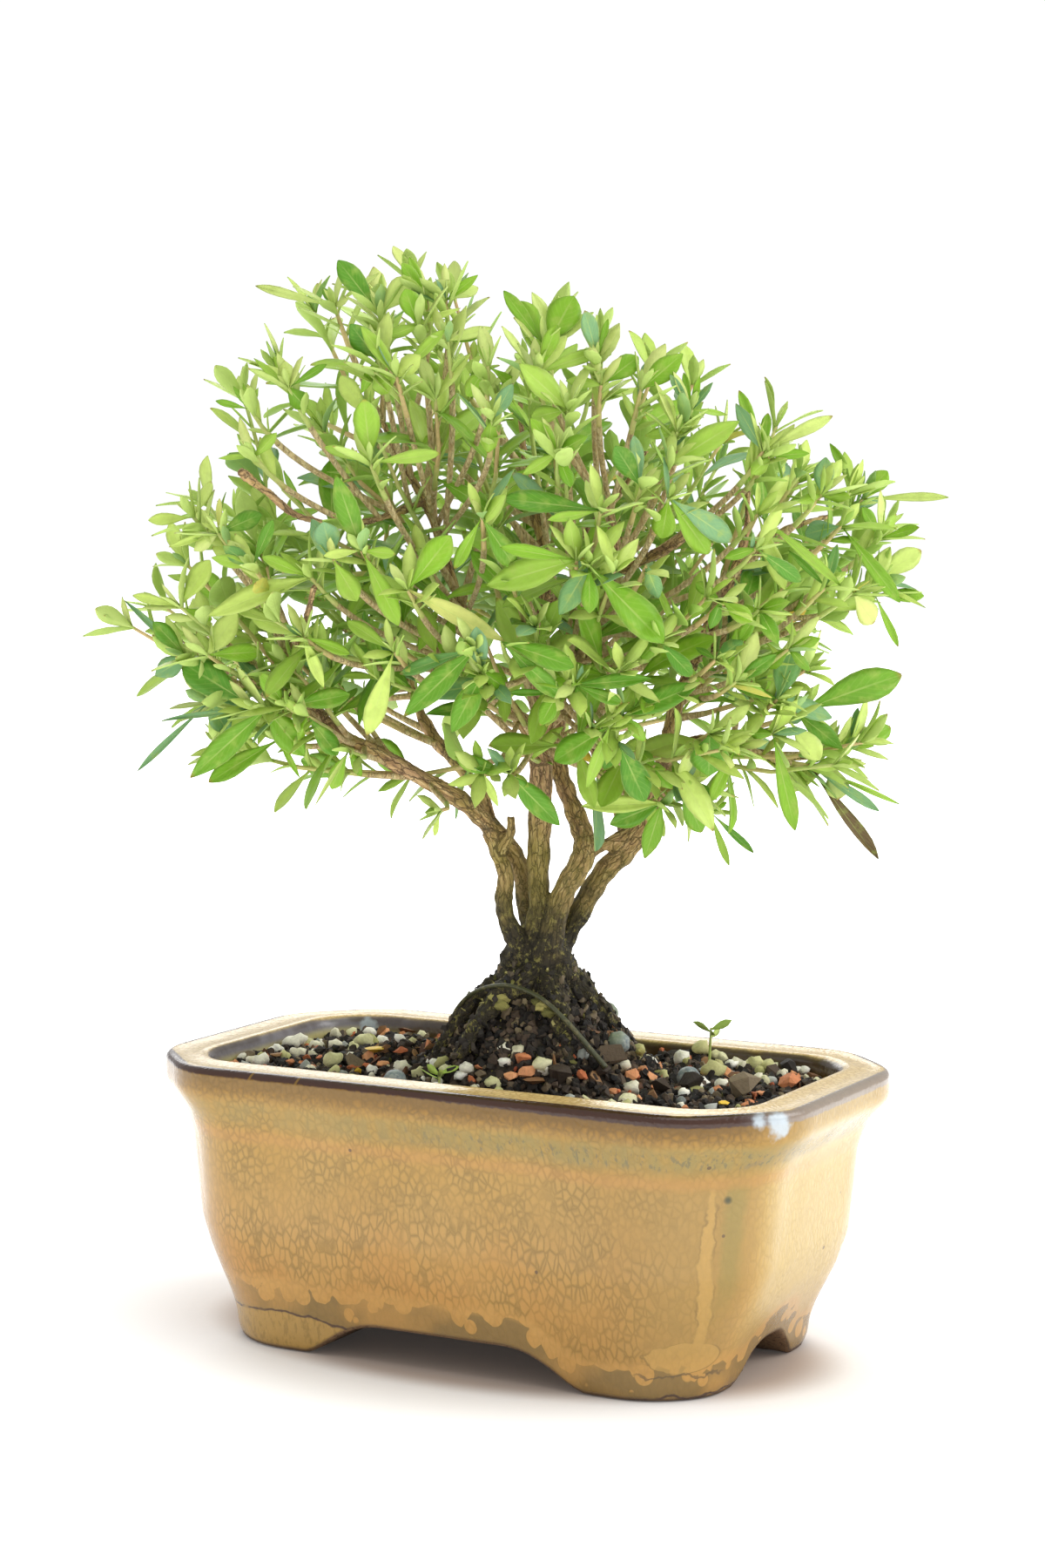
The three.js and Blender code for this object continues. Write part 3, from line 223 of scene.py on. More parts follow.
# Sprays that show in the photograph: the pixel where a spray starts, then for each of its leaves
# the pixel of the tip, the width in pixels and the tone
SHOWN_SPRAYS = [
    ((384, 352), (294, 329, 11, .8), (369, 328, 9, .2), (433, 312, 8, .8), (398, 343, 9, .85)),
    ((436, 362), (388, 297, 25, .12), (470, 318, 26, .72)),
    ((480, 374), (466, 333, 24, .35), (445, 385, 14, .5), (528, 352, 8, .6)),
    ((490, 345), (463, 303, 16, .35), (470, 295, 11, .4), (515, 322, 20, .76)),
    ((512, 345), (548, 315, 12, .4), (549, 328, 17, .78)),
    ((514, 392), (565, 375, 14, .72), (553, 385, 11, .35)),
    ((433, 412), (402, 372, 28, .1), (434, 402, 16, .13), (414, 452, 12, .4)),
    ((455, 432), (415, 372, 18, .5), (511, 380, 15, .5), (481, 408, 22, .6), (428, 446, 26, .5)),
    ((425, 532), (419, 460, 30, .45), (372, 512, 14, .5), (505, 520, 16, .55)),
    ((331, 445), (326, 414, 18, .7), (375, 419, 10, .25), (291, 411, 8, .5), (352, 470, 22, .25)),
    ((287, 470), (247, 460, 8, .3), (268, 444, 7, .3), (295, 447, 7, .35), (279, 440, 6, .4)),
    ((292, 524), (250, 525, 7, .5), (275, 510, 10, .15), (318, 497, 14, .5)),
    ((222, 594), (243, 552, 13, .7), (170, 597, 14, .6)),
    ((250, 612), (190, 627, 9, .6), (221, 632, 16, .85), (252, 572, 7, .9), (300, 590, 22, .13)),
    ((290, 650), (256, 627, 18, .08), (313, 597, 15, .15), (243, 640, 15, .5)),
    ((207, 697), (240, 643, 25, .6), (152, 683, 12, .6), (243, 712, 13, .4)),
    ((357, 663), (234, 703, 28, .6), (300, 640, 16, .45)),
    ((214, 754), (176, 714, 20, .14), (143, 690, 8, .02), (178, 776, 24, .02)),
    ((238, 752), (272, 703, 27, .7), (300, 748, 22, .35)),
    ((292, 812), (208, 760, 38, .1), (245, 800, 9, .03), (186, 829, 7, .03)),
    ((240, 806), (157, 885, 8, .03), (262, 842, 26, .03)),
    ((328, 811), (402, 797, 23, .22), (301, 775, 19, .33)),
    ((306, 814), (350, 868, 33, .28), (218, 893, 28, .22)),
    ((320, 849), (239, 897, 24, .28), (344, 893, 7, .4)),
    ((353, 822), (388, 867, 23, .13), (343, 850, 10, .4)),
    ((400, 862), (378, 906, 20, .4), (416, 892, 15, .33), (361, 925, 5, .8)),
    ((348, 731), (402, 749, 14, .42), (372, 790, 14, .6)),
    ((382, 642), (371, 600, 30, .02), (410, 690, 26, .5)),
    ((415, 632), (385, 546, 27, .2), (372, 638, 12, .6), (453, 636, 14, .5), (459, 716, 24, .45)),
    ((468, 677), (517, 616, 32, .38), (580, 736, 22, .9), (432, 690, 22, .55)),
    ((546, 745), (463, 822, 29, .16), (455, 772, 17, .08)),
    ((555, 772), (519, 840, 28, .17), (582, 791, 21, .28)),
    ((452, 748), (421, 846, 24, .62), (398, 712, 18, .5)),
    ((584, 888), (525, 872, 20, .24), (641, 947, 27, .14)),
    ((506, 930), (486, 931, 11, .3), (497, 962, 7, .6)),
    ((553, 886), (572, 926, 10, .6), (545, 850, 11, .55)),
    ((576, 737), (658, 763, 27, .18), (645, 802, 22, .18)),
    ((690, 586), (576, 571, 27, .13), (628, 598, 12, .45)),
    ((662, 643), (558, 672, 36, .5), (575, 628, 16, .35)),
    ((553, 594), (592, 652, 25, .2), (520, 655, 15, .4)),
    ((652, 470), (597, 417, 30, .55), (610, 480, 22, .5)),
    ((565, 482), (589, 440, 18, .03), (560, 520, 20, .45)),
    ((627, 400), (578, 333, 16, .3), (597, 347, 25, .4), (657, 339, 39, .33), (602, 388, 10, .5)),
    ((686, 412), (672, 357, 20, .02), (698, 366, 8, .3), (702, 404, 10, .3)),
    ((617, 428), (702, 397, 16, .55), (640, 372, 18, .4)),
    ((690, 442), (733, 409, 25, .3), (650, 436, 14, .55)),
    ((736, 447), (784, 406, 26, .33), (768, 424, 10, .6)),
    ((794, 470), (785, 428, 8, .3), (804, 430, 8, .35), (770, 432, 10, .03), (818, 440, 7, .6),
     (838, 476, 7, .5)),
    ((778, 495), (760, 449, 15, .6), (740, 500, 14, .5)),
    ((770, 532), (848, 483, 29, .5), (735, 560, 16, .5)),
    ((876, 518), (845, 463, 18, .03), (848, 449, 13, .35), (882, 475, 12, .3), (956, 476, 15, .72)),
    ((884, 524), (929, 519, 13, .3), (862, 545, 18, .5)),
    ((943, 568), (948, 524, 23, .06), (915, 578, 12, .5), (976, 570, 15, .5)),
    ((990, 573), (952, 509, 11, .3), (1019, 541, 21, .4), (1089, 570, 11, .72), (975, 590, 12, .4)),
    ((1011, 618), (990, 582, 14, .3), (1056, 606, 13, .35), (1020, 598, 8, .5), (1004, 600, 7, .7)),
    ((966, 604), (1034, 692, 18, .33), (923, 612, 25, .02)),
    ((1000, 667), (1058, 631, 26, .7), (1063, 697, 6, .6)),
    ((1004, 682), (1061, 684, 16, .4), (1030, 742, 9, .4), (996, 700, 8, .4)),
    ((979, 680), (1004, 716, 27, .87), (945, 632, 9, .15)),
    ((948, 674), (961, 623, 14, .08), (905, 631, 9, .15)),
    ((893, 803), (913, 733, 31, .07), (840, 785, 16, .2)),
    ((914, 818), (1037, 770, 39, .22), (968, 859, 22, .14)),
    ((846, 782), (892, 751, 17, .14), (880, 795, 10, .35)),
    ((976, 857), (1024, 831, 24, .33), (985, 812, 9, .03), (1003, 855, 8, .5)),
    ((815, 842), (814, 892, 44, .14), (850, 850, 9, .4)),
    ((906, 828), (942, 872, 26, .7), (893, 800, 16, .35)),
    ((887, 842), (913, 954, 20, .35), (858, 842, 14, .3)),
    ((957, 876), (963, 917, 27, .84), (894, 904, 25, .78)),
    ((930, 880), (1006, 986, 15, 1), (1010, 931, 12, .03), (1036, 923, 6, .5)),
    ((846, 857), (815, 920, 16, .42), (826, 840, 14, .3)),
    ((700, 834), (636, 873, 33, .2), (673, 906, 15, .5)),
    ((709, 850), (741, 920, 33, .1), (694, 882, 20, .12)),
    ((760, 922), (697, 946, 28, .14), (740, 986, 22, .28), (668, 925, 20, .6)),
    ((781, 900), (806, 956, 26, .24), (823, 917, 20, .18), (777, 872, 15, .33)),
    ((815, 932), (837, 994, 9, .5), (864, 979, 9, .1), (834, 920, 9, .3)),
    ((716, 822), (801, 785, 29, .14), (742, 852, 15, .3)),
    ((660, 786), (748, 780, 18, .14), (714, 808, 15, .18), (673, 816, 13, .2)),
    ((641, 796), (619, 832, 22, .28), (584, 795, 9, .13)),
    ((676, 650), (763, 737, 42, .28), (642, 706, 27, .06), (678, 702, 20, .24)),
    ((742, 650), (757, 687, 19, .05), (778, 722, 9, .5)),
    ((756, 735), (795, 777, 19, .1), (736, 756, 20, .3)),
    ((822, 757), (853, 734, 20, .08), (798, 742, 8, .14)),
    ((868, 630), (921, 668, 18, .1), (832, 640, 13, .3)),
    ((870, 590), (966, 672, 12, .48), (900, 677, 20, .6)),
    ((736, 559), (707, 514, 25, .1), (729, 500, 16, .02)),
    ((768, 572), (760, 618, 29, .42), (845, 622, 27, .02), (815, 636, 29, .42)),
    ((752, 880), (772, 906, 16, .24), (735, 862, 14, .3)),
    ((872, 700), (905, 690, 16, .3), (850, 735, 15, .3), (893, 738, 18, .2), (842, 700, 12, .4)),
    ((828, 690), (799, 668, 16, .3), (862, 712, 20, .45), (815, 722, 14, .15)),
    ((906, 745), (942, 733, 14, .4), (880, 768, 16, .3), (930, 770, 12, .25)),
    ((560, 420), (535, 455, 20, .4), (600, 450, 16, .35), (552, 385, 14, .5)),
    ((640, 520), (610, 480, 20, .4), (672, 500, 18, .3), (655, 560, 16, .25), (600, 545, 14, .5)),
]
# Limbs that no leaf hides in the photograph: runs of pixels
BARE_RUNS = [((764, 872), (770, 799), (810, 719), (827, 640), (872, 595)), ((726, 652), (800, 600)),
             ((274, 534), (352, 599)), ((620, 930), (593, 787), (566, 716)), ((604, 974), (384, 831))]
# How far a leaf may reach to the right and to the front, in the pot's axes
REACH_RIGHT, REACH_FRONT = 79.0, -75.0
# The crown's middle and its reach across, in depth and upwards, for how deep the shown sprays lie
CROWN_MIDDLE, CROWN_REACH = (-2.0, 0.0, 172.0), (88.0, 58.0, 64.0)
# Ends of further shoots between those of the part
MORE_TIPS = [
    (-28.5, -20, 222), (-52, 12, 209), (-42.5, -30, 175), (-17, -40, 202.5), (1.5, -22, 210), (37, 6, 206),
    (57, -26, 187), (24.5, -38, 129), (2.5, -14, 127.5),
]


def srgb(red, green, blue):
    """Linear colour from the usual 0 to 255 numbers."""
    def channel(value):
        share = value / 255
        return share / 12.92 if share <= 0.04045 else ((share + 0.055) / 1.055) ** 2.4
    return (channel(red), channel(green), channel(blue), 1.0)


def mix(low, high, share):
    return low + (high - low) * share


def smooth(low, high, value):
    share = np.clip((value - low) / (high - low), 0, 1)
    return share * share * (3 - 2 * share)


def unit(vector):
    return vector / np.linalg.norm(vector)


def random_from(seed):
    """Repeatable random numbers, the same that the part's own shoots are grown with."""
    state = seed

    def draw():
        nonlocal state
        state = (state + 0x6D2B79F5) & 0xFFFFFFFF
        mixed = ((state ^ (state >> 15)) * (1 | state)) & 0xFFFFFFFF
        mixed = ((mixed + (((mixed ^ (mixed >> 7)) * (61 | mixed)) & 0xFFFFFFFF)) & 0xFFFFFFFF) ^ mixed
        return (mixed ^ (mixed >> 14)) / 4294967296
    return draw


def in_pot_axes(points):
    """Millimetres in the pot's axes to metres in the frame."""
    return np.asarray(points, float) * MM + np.array([POT_X, POT_Y, 0.0])


def turned(points):
    """From the tree's axes to the pot's."""
    points = np.asarray(points, float)
    cos, sin = math.cos(TREE_TURN), math.sin(TREE_TURN)
    return np.stack([points[..., 0] * cos - points[..., 1] * sin,
        points[..., 0] * sin + points[..., 1] * cos, points[..., 2]], -1)


def in_tree_axes(points):
    """Millimetres in the tree's axes to metres in the frame."""
    return in_pot_axes(turned(points))


def soil_height(x, y):
    """Height of the soil at a place in the tree's own x and y."""
    away = ((x - MOUND_X) / MOUND_RADIUS_X) ** 2 + (y / MOUND_RADIUS_Y) ** 2
    return SOIL_LEVEL + MOUND_RISE * np.clip(1 - away, 0, 1) ** 1.3


def roughened(points, scale, height, seed=0.0, octaves=3):
    """Noise from about -height to height at each point."""
    shift = Vector((seed, seed * 1.7, -seed))
    return np.array([height * noise.fractal(Vector(point) * scale + shift, 1.0, 2.0, octaves)
        for point in points.tolist()])


# Meshes

def mesh_from(name, points, faces):
    mesh = bpy.data.meshes.new(name)
    mesh.from_pydata(np.asarray(points).tolist(), [], faces)
    mesh.update()
    return mesh


def object_from(name, mesh, collection=None):
    made = bpy.data.objects.new(name, mesh)
    (collection or bpy.context.scene.collection).objects.link(made)
    return made


def finish_piece(piece, slot, *nodes):
    """Smooth, riding on the one body, and hiding the nodes it stands for; the slot argument is not used."""
    piece.data.polygons.foreach_set("use_smooth", [True] * len(piece.data.polygons))
    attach(piece, "root")
    if nodes:
        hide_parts(*nodes)
    return piece


def give(mesh, name, values, kind="FLOAT", domain="POINT"):
    """Stores one number or vector for each point or face."""
    attribute = mesh.attributes.new(name, kind, domain)
    key = "vector" if kind == "FLOAT_VECTOR" else "value"
    attribute.data.foreach_set(key, np.ascontiguousarray(values).ravel())


def points_of(mesh):
    points = np.empty(len(mesh.vertices) * 3)
    mesh.vertices.foreach_get("co", points)
    return points.reshape(-1, 3)


def ring_faces(rows, columns, offset=0):
    """Quads between rows of points that close round."""
    faces = []
    for row in range(rows - 1):
        for column in range(columns):
            after = (column + 1) % columns
            low, high = offset + row * columns, offset + (row + 1) * columns
            faces.append((low + column, low + after, high + after, high + column))
    return faces


def baked(piece, name):
    """A plain mesh from an object and its modifiers, which are then taken off."""
    depsgraph = bpy.context.evaluated_depsgraph_get()
    mesh = bpy.data.meshes.new_from_object(piece.evaluated_get(depsgraph))
    mesh.name = name
    piece.modifiers.clear()
    return mesh


def remove(*pieces):
    for piece in pieces:
        mesh = piece.data
        bpy.data.objects.remove(piece)
        if mesh and mesh.users == 0:
            bpy.data.meshes.remove(mesh)


def remove_shapes(collection):
    remove(*collection.objects)
    bpy.data.collections.remove(collection)


def join(pieces):
    """One object from several, which keep their materials and stored values."""
    with bpy.context.temp_override(active_object=pieces[0], object=pieces[0], selected_objects=pieces,
            selected_editable_objects=pieces):
        bpy.ops.object.join()
    return pieces[0]


def curve_at(points, share):
    """Point of a smooth curve through the points."""
    points = np.asarray(points, float)[:, :3]
    last = len(points) - 1
    place = min(max(share, 0.0), 1.0) * last
    low = min(int(place), last - 1)
    step = place - low
    before = points[low - 1] if low > 0 else 2 * points[0] - points[1]
    here, after = points[low], points[low + 1]
    beyond = points[low + 2] if low + 2 <= last else 2 * points[last] - points[last - 1]
    leave, arrive = 0.5 * (after - before), 0.5 * (beyond - here)
    return (here + leave * step + (-3 * here + 3 * after - 2 * leave - arrive) * step ** 2
        + (2 * here - 2 * after + leave + arrive) * step ** 3)


def radius_at(points, share):
    place = share * (len(points) - 1)
    low = min(int(place), len(points) - 2)
    return mix(points[low][3], points[low + 1][3], place - low)


def tube_rings(path, radii, sides, flat=1.0):
    """Rings of points round a path, without twist, and the faces of the closed tube."""
    path = np.asarray(path, float)
    ahead = np.gradient(path, axis=0)
    ahead /= np.linalg.norm(ahead, axis=1)[:, None]
    across = np.cross(ahead[0], UP)
    across = unit(across) if np.linalg.norm(across) > 1e-3 else np.array([1.0, 0, 0])
    angles = np.arange(sides) * 2 * math.pi / sides
    rings = []
    for centre, direction, radius in zip(path, ahead, radii):
        across = unit(across - direction * across.dot(direction))
        other = np.cross(direction, across)
        rings.append(centre + radius * (np.cos(angles)[:, None] * across
            + flat * np.sin(angles)[:, None] * other))
    rows = len(path)
    faces = ring_faces(rows, sides)
    faces.append(tuple(reversed(range(sides))))
    faces.append(tuple((rows - 1) * sides + side for side in range(sides)))
    return np.concatenate(rings), faces


# Node trees

class Value:
    """An output of a node, which adds and multiplies as a number does."""

    def __init__(self, tree, socket):
        self.tree, self.socket = tree, socket

    def __add__(self, other):
        return self.tree.math("ADD", self, other)

    def __sub__(self, other):
        return self.tree.math("SUBTRACT", self, other)

    def __rsub__(self, other):
        return self.tree.math("SUBTRACT", other, self)

    def __mul__(self, other):
        return self.tree.math("MULTIPLY", self, other)

    def __truediv__(self, other):
        return self.tree.math("DIVIDE", self, other)

    def __abs__(self):
        return self.tree.math("ABSOLUTE", self)

    __radd__, __rmul__ = __add__, __mul__

    def coated(self, share, *shade):
        """This colour with a coat of another over it."""
        return self.tree.blend(share, self, srgb(*shade))


class Tree:
    """Adds nodes to a node tree in short lines."""

    def __init__(self, group):
        self.group = group

    def feed(self, socket, value):
        """Links an output to a socket, or sets the socket to a constant."""
        value = getattr(value, "socket", value)
        if isinstance(value, bpy.types.NodeSocket):
            self.group.links.new(value, socket)
        else:
            socket.default_value = value

    def put(self, kind, values=None, **settings):
        node = self.group.nodes.new(kind)
        for key, value in settings.items():
            setattr(node, key, value)
        for key, value in (values or {}).items():
            self.feed(node.inputs[key], value)
        return node

    def out(self, key, kind, values=None, **settings):
        """One output of a new node."""
        return Value(self, self.put(kind, values, **settings).outputs[key])

    def math(self, operation, first, second=0.0, third=0.0, clamp=False):
        values = {0: first, 1: second, 2: third}
        return self.out(0, "ShaderNodeMath", values, operation=operation, use_clamp=clamp)

    def vector(self, operation, first, second=(0, 0, 0)):
        key = 3 if operation == "SCALE" else 1
        return self.out(0, "ShaderNodeVectorMath", {0: first, key: second}, operation=operation)

    def length(self, vector):
        return self.out("Value", "ShaderNodeVectorMath", {0: vector}, operation="LENGTH")

    def parts(self, place):
        """Its x, y and z."""
        return [Value(self, part) for part in self.put("ShaderNodeSeparateXYZ", {0: place}).outputs]

    def ease(self, value, low, high, start=0.0, end=1.0):
        """Start below low, end above high, and smoothly between."""
        values = {0: value, 1: low, 2: high, 3: start, 4: end}
        return self.out(0, "ShaderNodeMapRange", values, interpolation_type="SMOOTHSTEP")

    def band(self, value, low, rise, fall, high):
        """1 from rise to fall, and 0 below low and above high."""
        return self.ease(value, low, rise) * self.ease(value, fall, high, 1.0, 0.0)

    def scaled(self, place, *shares):
        """The place, drawn out or in along each axis."""
        return self.vector("MULTIPLY", place, shares)

    def blend(self, share, first, second, way="MIX"):
        values = {0: share, 6: first, 7: second}
        return self.out(2, "ShaderNodeMix", values, data_type="RGBA", blend_type=way, clamp_factor=True)

    def noise(self, place, scale, detail=2.0, rough=0.5, out="Fac"):
        values = {"Vector": place, "Scale": scale, "Detail": detail, "Roughness": rough}
        return self.out(out, "ShaderNodeTexNoise", values)

    def cells(self, place, scale, feature="F1"):
        values = {"Vector": place, "Scale": scale}
        return self.out("Distance", "ShaderNodeTexVoronoi", values, feature=feature)

    def net(self, place, scale, width):
        """1 on the lines between cells, and 0 a width away from them."""
        edge = self.cells(place, scale, "DISTANCE_TO_EDGE")
        return self.math("SUBTRACT", 1.0, edge / width, clamp=True)

    def stored(self, name, out="Fac"):
        return self.out(out, "ShaderNodeAttribute", attribute_name=name)

    def ramp(self, value, stops):
        node = self.put("ShaderNodeValToRGB", {0: value})
        elements = node.color_ramp.elements
        while len(elements) < len(stops):
            elements.new(0.5)
        for element, (place, colour) in zip(elements, stops):
            element.position, element.color = place, colour
        return Value(self, node.outputs[0])

    def warped(self, place, scale, amount):
        """The place, pushed about by noise."""
        push = self.vector("SUBTRACT", self.noise(place, scale, out="Color"), (0.5, 0.5, 0.5))
        return self.vector("ADD", place, self.vector("SCALE", push, amount))

    def apart(self, place, spot):
        """Distance from a spot."""
        return self.length(self.vector("SUBTRACT", place, spot))

    def line_gap(self, place, start, end):
        """Distance from a straight line between two spots."""
        ahead = Vector(end) - Vector(start)
        gap = self.vector("SUBTRACT", place, start)
        share = self.out("Value", "ShaderNodeVectorMath", {0: gap, 1: ahead / ahead.length_squared},
            operation="DOT_PRODUCT")
        share = self.math("ADD", share, 0.0, clamp=True)
        return self.length(self.vector("SUBTRACT", gap, self.vector("SCALE", ahead, share)))

    def in_mm(self):
        """Place on the piece in millimetres, from the middle of the pot."""
        centred = self.vector("SUBTRACT", self.out("Object", "ShaderNodeTexCoord"), (POT_X, POT_Y, 0))
        return self.vector("SCALE", centred, 1 / MM)


def new_group(name, kind, inputs, outputs):
    """A node group with named inputs and outputs: what fills it, its inputs and its outputs."""
    group = bpy.data.node_groups.new(name, kind)
    for way, sockets in (("INPUT", inputs), ("OUTPUT", outputs)):
        for label, socket in sockets.items():
            group.interface.new_socket(label, in_out=way, socket_type="NodeSocket" + socket)
    tree = Tree(group)
    return tree, tree.put("NodeGroupInput").outputs, tree.put("NodeGroupOutput").inputs


def new_material(name, **shine):
    """A material with a plain shader, whose constant sockets are named in shine."""
    material = bpy.data.materials.new(name)
    material.use_nodes = True
    tree = Tree(material.node_tree)
    tree.shader = material.node_tree.nodes["Principled BSDF"].inputs
    for key, value in shine.items():
        tree.shader[key.replace("_", " ")].default_value = value
    return material, tree, tree.in_mm()


def wire_up(tree, colour, roughness=None, height=None, strength=0.4, distance=0.0002):
    """Feeds the shader of a material."""
    tree.feed(tree.shader["Base Color"], colour)
    if roughness is not None:
        tree.feed(tree.shader["Roughness"], roughness)
    if height is not None:
        bump = {"Strength": strength, "Distance": distance, "Height": height}
        tree.feed(tree.shader["Normal"], tree.out(0, "ShaderNodeBump", bump))


def mottle_group():
    """Uneven tone that the glaze, the bark, the litter and the leaves share."""
    if "Mottle" in bpy.data.node_groups:
        return bpy.data.node_groups["Mottle"]
    tree, given, out = new_group("Mottle", "ShaderNodeTree",
        {"Colour": "Color", "Place": "Vector", "Scale": "Float", "Amount": "Float"},
        {"Colour": "Color", "Height": "Float"})
    grain = tree.noise(given["Place"], given["Scale"], 4.0, 0.6)
    factor = (grain - 0.5) * given["Amount"] * 2.0 + 1.0
    grey = tree.out(0, "ShaderNodeCombineColor", {0: factor, 1: factor, 2: factor})
    tree.feed(out["Colour"], tree.blend(1.0, given["Colour"], grey, "MULTIPLY"))
    tree.feed(out["Height"], grain)
    return tree.group


def mottled(tree, colour, place, scale, amount):
    """The colour in uneven tones, and the height of its grain."""
    values = {"Colour": colour, "Place": place, "Scale": scale, "Amount": amount}
    out = tree.put("ShaderNodeGroup", values, node_tree=mottle_group()).outputs
    return out["Colour"], out["Height"]


# Pot

def cut_outline(half_x, half_y, cut_x, cut_y, fillet):
    """Rectangle with cut corners, each of its eight corners eased; always the same number of points."""
    cut_x, cut_y = max(cut_x, 0.6), max(cut_y, 0.6)
    corners = np.array([(half_x, -half_y + cut_y), (half_x, half_y - cut_y), (half_x - cut_x, half_y),
        (-half_x + cut_x, half_y), (-half_x, half_y - cut_y), (-half_x, -half_y + cut_y),
        (-half_x + cut_x, -half_y), (half_x - cut_x, -half_y)])
    counts = (22, 8, 38, 8, 22, 8, 38, 8)
    points = []
    for number, corner in enumerate(corners):
        before, after = corners[number - 1], corners[(number + 1) % 8]
        arriving, leaving = corner - before, after - corner
        reach = min(fillet, 0.46 * np.linalg.norm(arriving), 0.46 * np.linalg.norm(leaving))
        start, end = corner - unit(arriving) * reach, corner + unit(leaving) * reach
        for share in np.linspace(0, 1, 6):
            points.append((1 - share) ** 2 * start + 2 * share * (1 - share) * corner + share ** 2 * end)
        stop_reach = min(fillet, 0.46 * np.linalg.norm(leaving),
            0.46 * np.linalg.norm(corners[(number + 2) % 8] - after))
        stop = after - unit(leaving) * stop_reach
        for share in np.linspace(0, 1, counts[number] + 1)[1:-1]:
            points.append(mix(end, stop, share))
    return np.array(points)


def rise_under(x, y):
    """Height of the underside between the feet, in the pot's axes."""
    def wave(place, flat, run):
        share = np.clip((flat - np.abs(place)) / run, 0, 1)
        return (ARCH_HEIGHT * (0.5 - 0.5 * np.cos(np.pi * np.minimum(1, share * ARCH_HASTE)))
            + ARCH_SWELL * np.sin(2 * np.pi * share) * (share < 1))
    return np.maximum(np.maximum(wave(x, FOOT_FLAT_X, ARCH_RUN_X), wave(y, FOOT_FLAT_Y, ARCH_RUN_Y)), 0)


WALL_LEVELS = np.arange(0, POT_HEIGHT + 0.1, 0.2)


def wall_shares():
    """Share of the foot inset at each level of the wall, eased between the given heights."""
    heights, shares = zip(*WALL_PROFILE)
    wide = np.arange(-6, POT_HEIGHT + 6, 0.2)
    values = np.interp(wide, heights, shares)
    kernel = np.exp(-0.5 * (np.arange(-12, 13) * 0.2 / 0.9) ** 2)
    eased = np.convolve(values, kernel / kernel.sum(), "same")
    return np.interp(WALL_LEVELS, wide, eased)


def wall_table():
    return np.array([cut_outline(POT_LENGTH / 2 - FOOT_INSET_X * share, POT_WIDTH / 2 - FOOT_INSET_Y * share,
        mix(LIP_CUT, FOOT_CUT_X, share), mix(LIP_CUT, FOOT_CUT_Y, share), EDGE_EASE)
        for share in wall_shares()])


def inside_outline(inset, height, opened=0.0):
    """Outline of the cavity at a height, set into the wall or, below nothing, away from it."""
    drawn = CAVITY_TAPER * (POT_HEIGHT - height) / (POT_HEIGHT - CAVITY_FLOOR)
    cut = CAVITY_CORNER * CUT_SHARE + opened
    return cut_outline(POT_LENGTH / 2 - LIP_WIDTH + inset - drawn,
        POT_WIDTH / 2 - LIP_WIDTH + inset - drawn / 2, cut, cut, CAVITY_EASE)


def pot_rings():
    """Rings of points from the middle of the underside, up the wall, over the lip, to the cavity's floor."""
    table = wall_table()
    column = np.arange(table.shape[1])

    def on_wall(heights):
        place = np.clip(heights / 0.2, 0, len(table) - 1.001)
        low = place.astype(int)
        return mix(table[low, column], table[low + 1, column], (place - low)[:, None])

    def lifted(nominal):
        """A ring of the wall, with the low ones bent up over the arches between the feet."""
        heights = np.full(table.shape[1], float(nominal))
        places = on_wall(heights)
        for _ in range(4):
            under = rise_under(places[:, 0], places[:, 1])
            heights = under + nominal * (1 - under / 18.0) if nominal < 18 else heights
            places = on_wall(heights)
        return np.column_stack([places, heights])

    edge = lifted(0.9)
    rings = []
    for share in np.linspace(0.04, 1, 26) ** 0.8:
        shrink = (np.abs(edge[:, :2]).max(0) - 0.9) / np.abs(edge[:, :2]).max(0) * share
        flat = edge[:, :2] * shrink
        rings.append(np.column_stack([flat, rise_under(flat[:, 0], flat[:, 1])]))
    inner = (np.abs(edge[:, :2]).max(0) - 0.28) / np.abs(edge[:, :2]).max(0)
    low = edge[:, :2] * inner
    rings.append(np.column_stack([low, rise_under(low[:, 0], low[:, 1]) + 0.25]))
    rings.append(edge)
    for nominal in list(np.arange(1.8, 18, 0.9)) + list(np.arange(18, 54, 1.25)):
        rings.append(lifted(nominal))
    for height in (54.3, 55, 55.7, 56.4, 57.2, 58, 58.8, 59.4, 59.8):
        rings.append(lifted(height))

    def lip(inset, height):
        cut = LIP_CUT - CUT_SHARE * inset
        return at_height(cut_outline(POT_LENGTH / 2 - inset, POT_WIDTH / 2 - inset, cut, cut, EDGE_EASE),
            height)

    def inside(inset, height):
        return at_height(inside_outline(inset, height, 0.2 * inset), height)

    for angle in np.linspace(0.15, 1, 6) * math.pi / 2:
        rings.append(lip(1.6 * (1 - math.cos(angle)), 59.8 + 1.6 * math.sin(angle)))
    outer, within = lip(1.6, POT_HEIGHT), inside(1.8, POT_HEIGHT)
    for share in np.linspace(0, 1, 10)[1:]:
        ring = mix(outer, within, share)
        ring[:, 2] = POT_HEIGHT - 0.35 * math.sin(math.pi * share)
        rings.append(ring)
    for angle in np.linspace(0.15, 1, 6) * math.pi / 2:
        rings.append(inside(1.8 * (1 - math.sin(angle)), POT_HEIGHT - 1.8 * (1 - math.cos(angle))))
    for height in (58, 56, 53, 48, 40, 30, 20, 15):
        rings.append(inside(0, height))
    floor = inside(-1, CAVITY_FLOOR)
    for share in (1, 0.9, 0.75, 0.6, 0.45, 0.3, 0.15, 0.05):
        ring = floor.copy()
        ring[:, :2] *= share
        rings.append(ring)
    return rings


def stretched(points):
    """Points of the pot or the soil, drawn out along the pot's length."""
    points = points.copy()
    points[:, 0] *= POT_STRETCH + POT_STRETCH_RIGHT * points[:, 0] / (POT_LENGTH / 2)
    return points


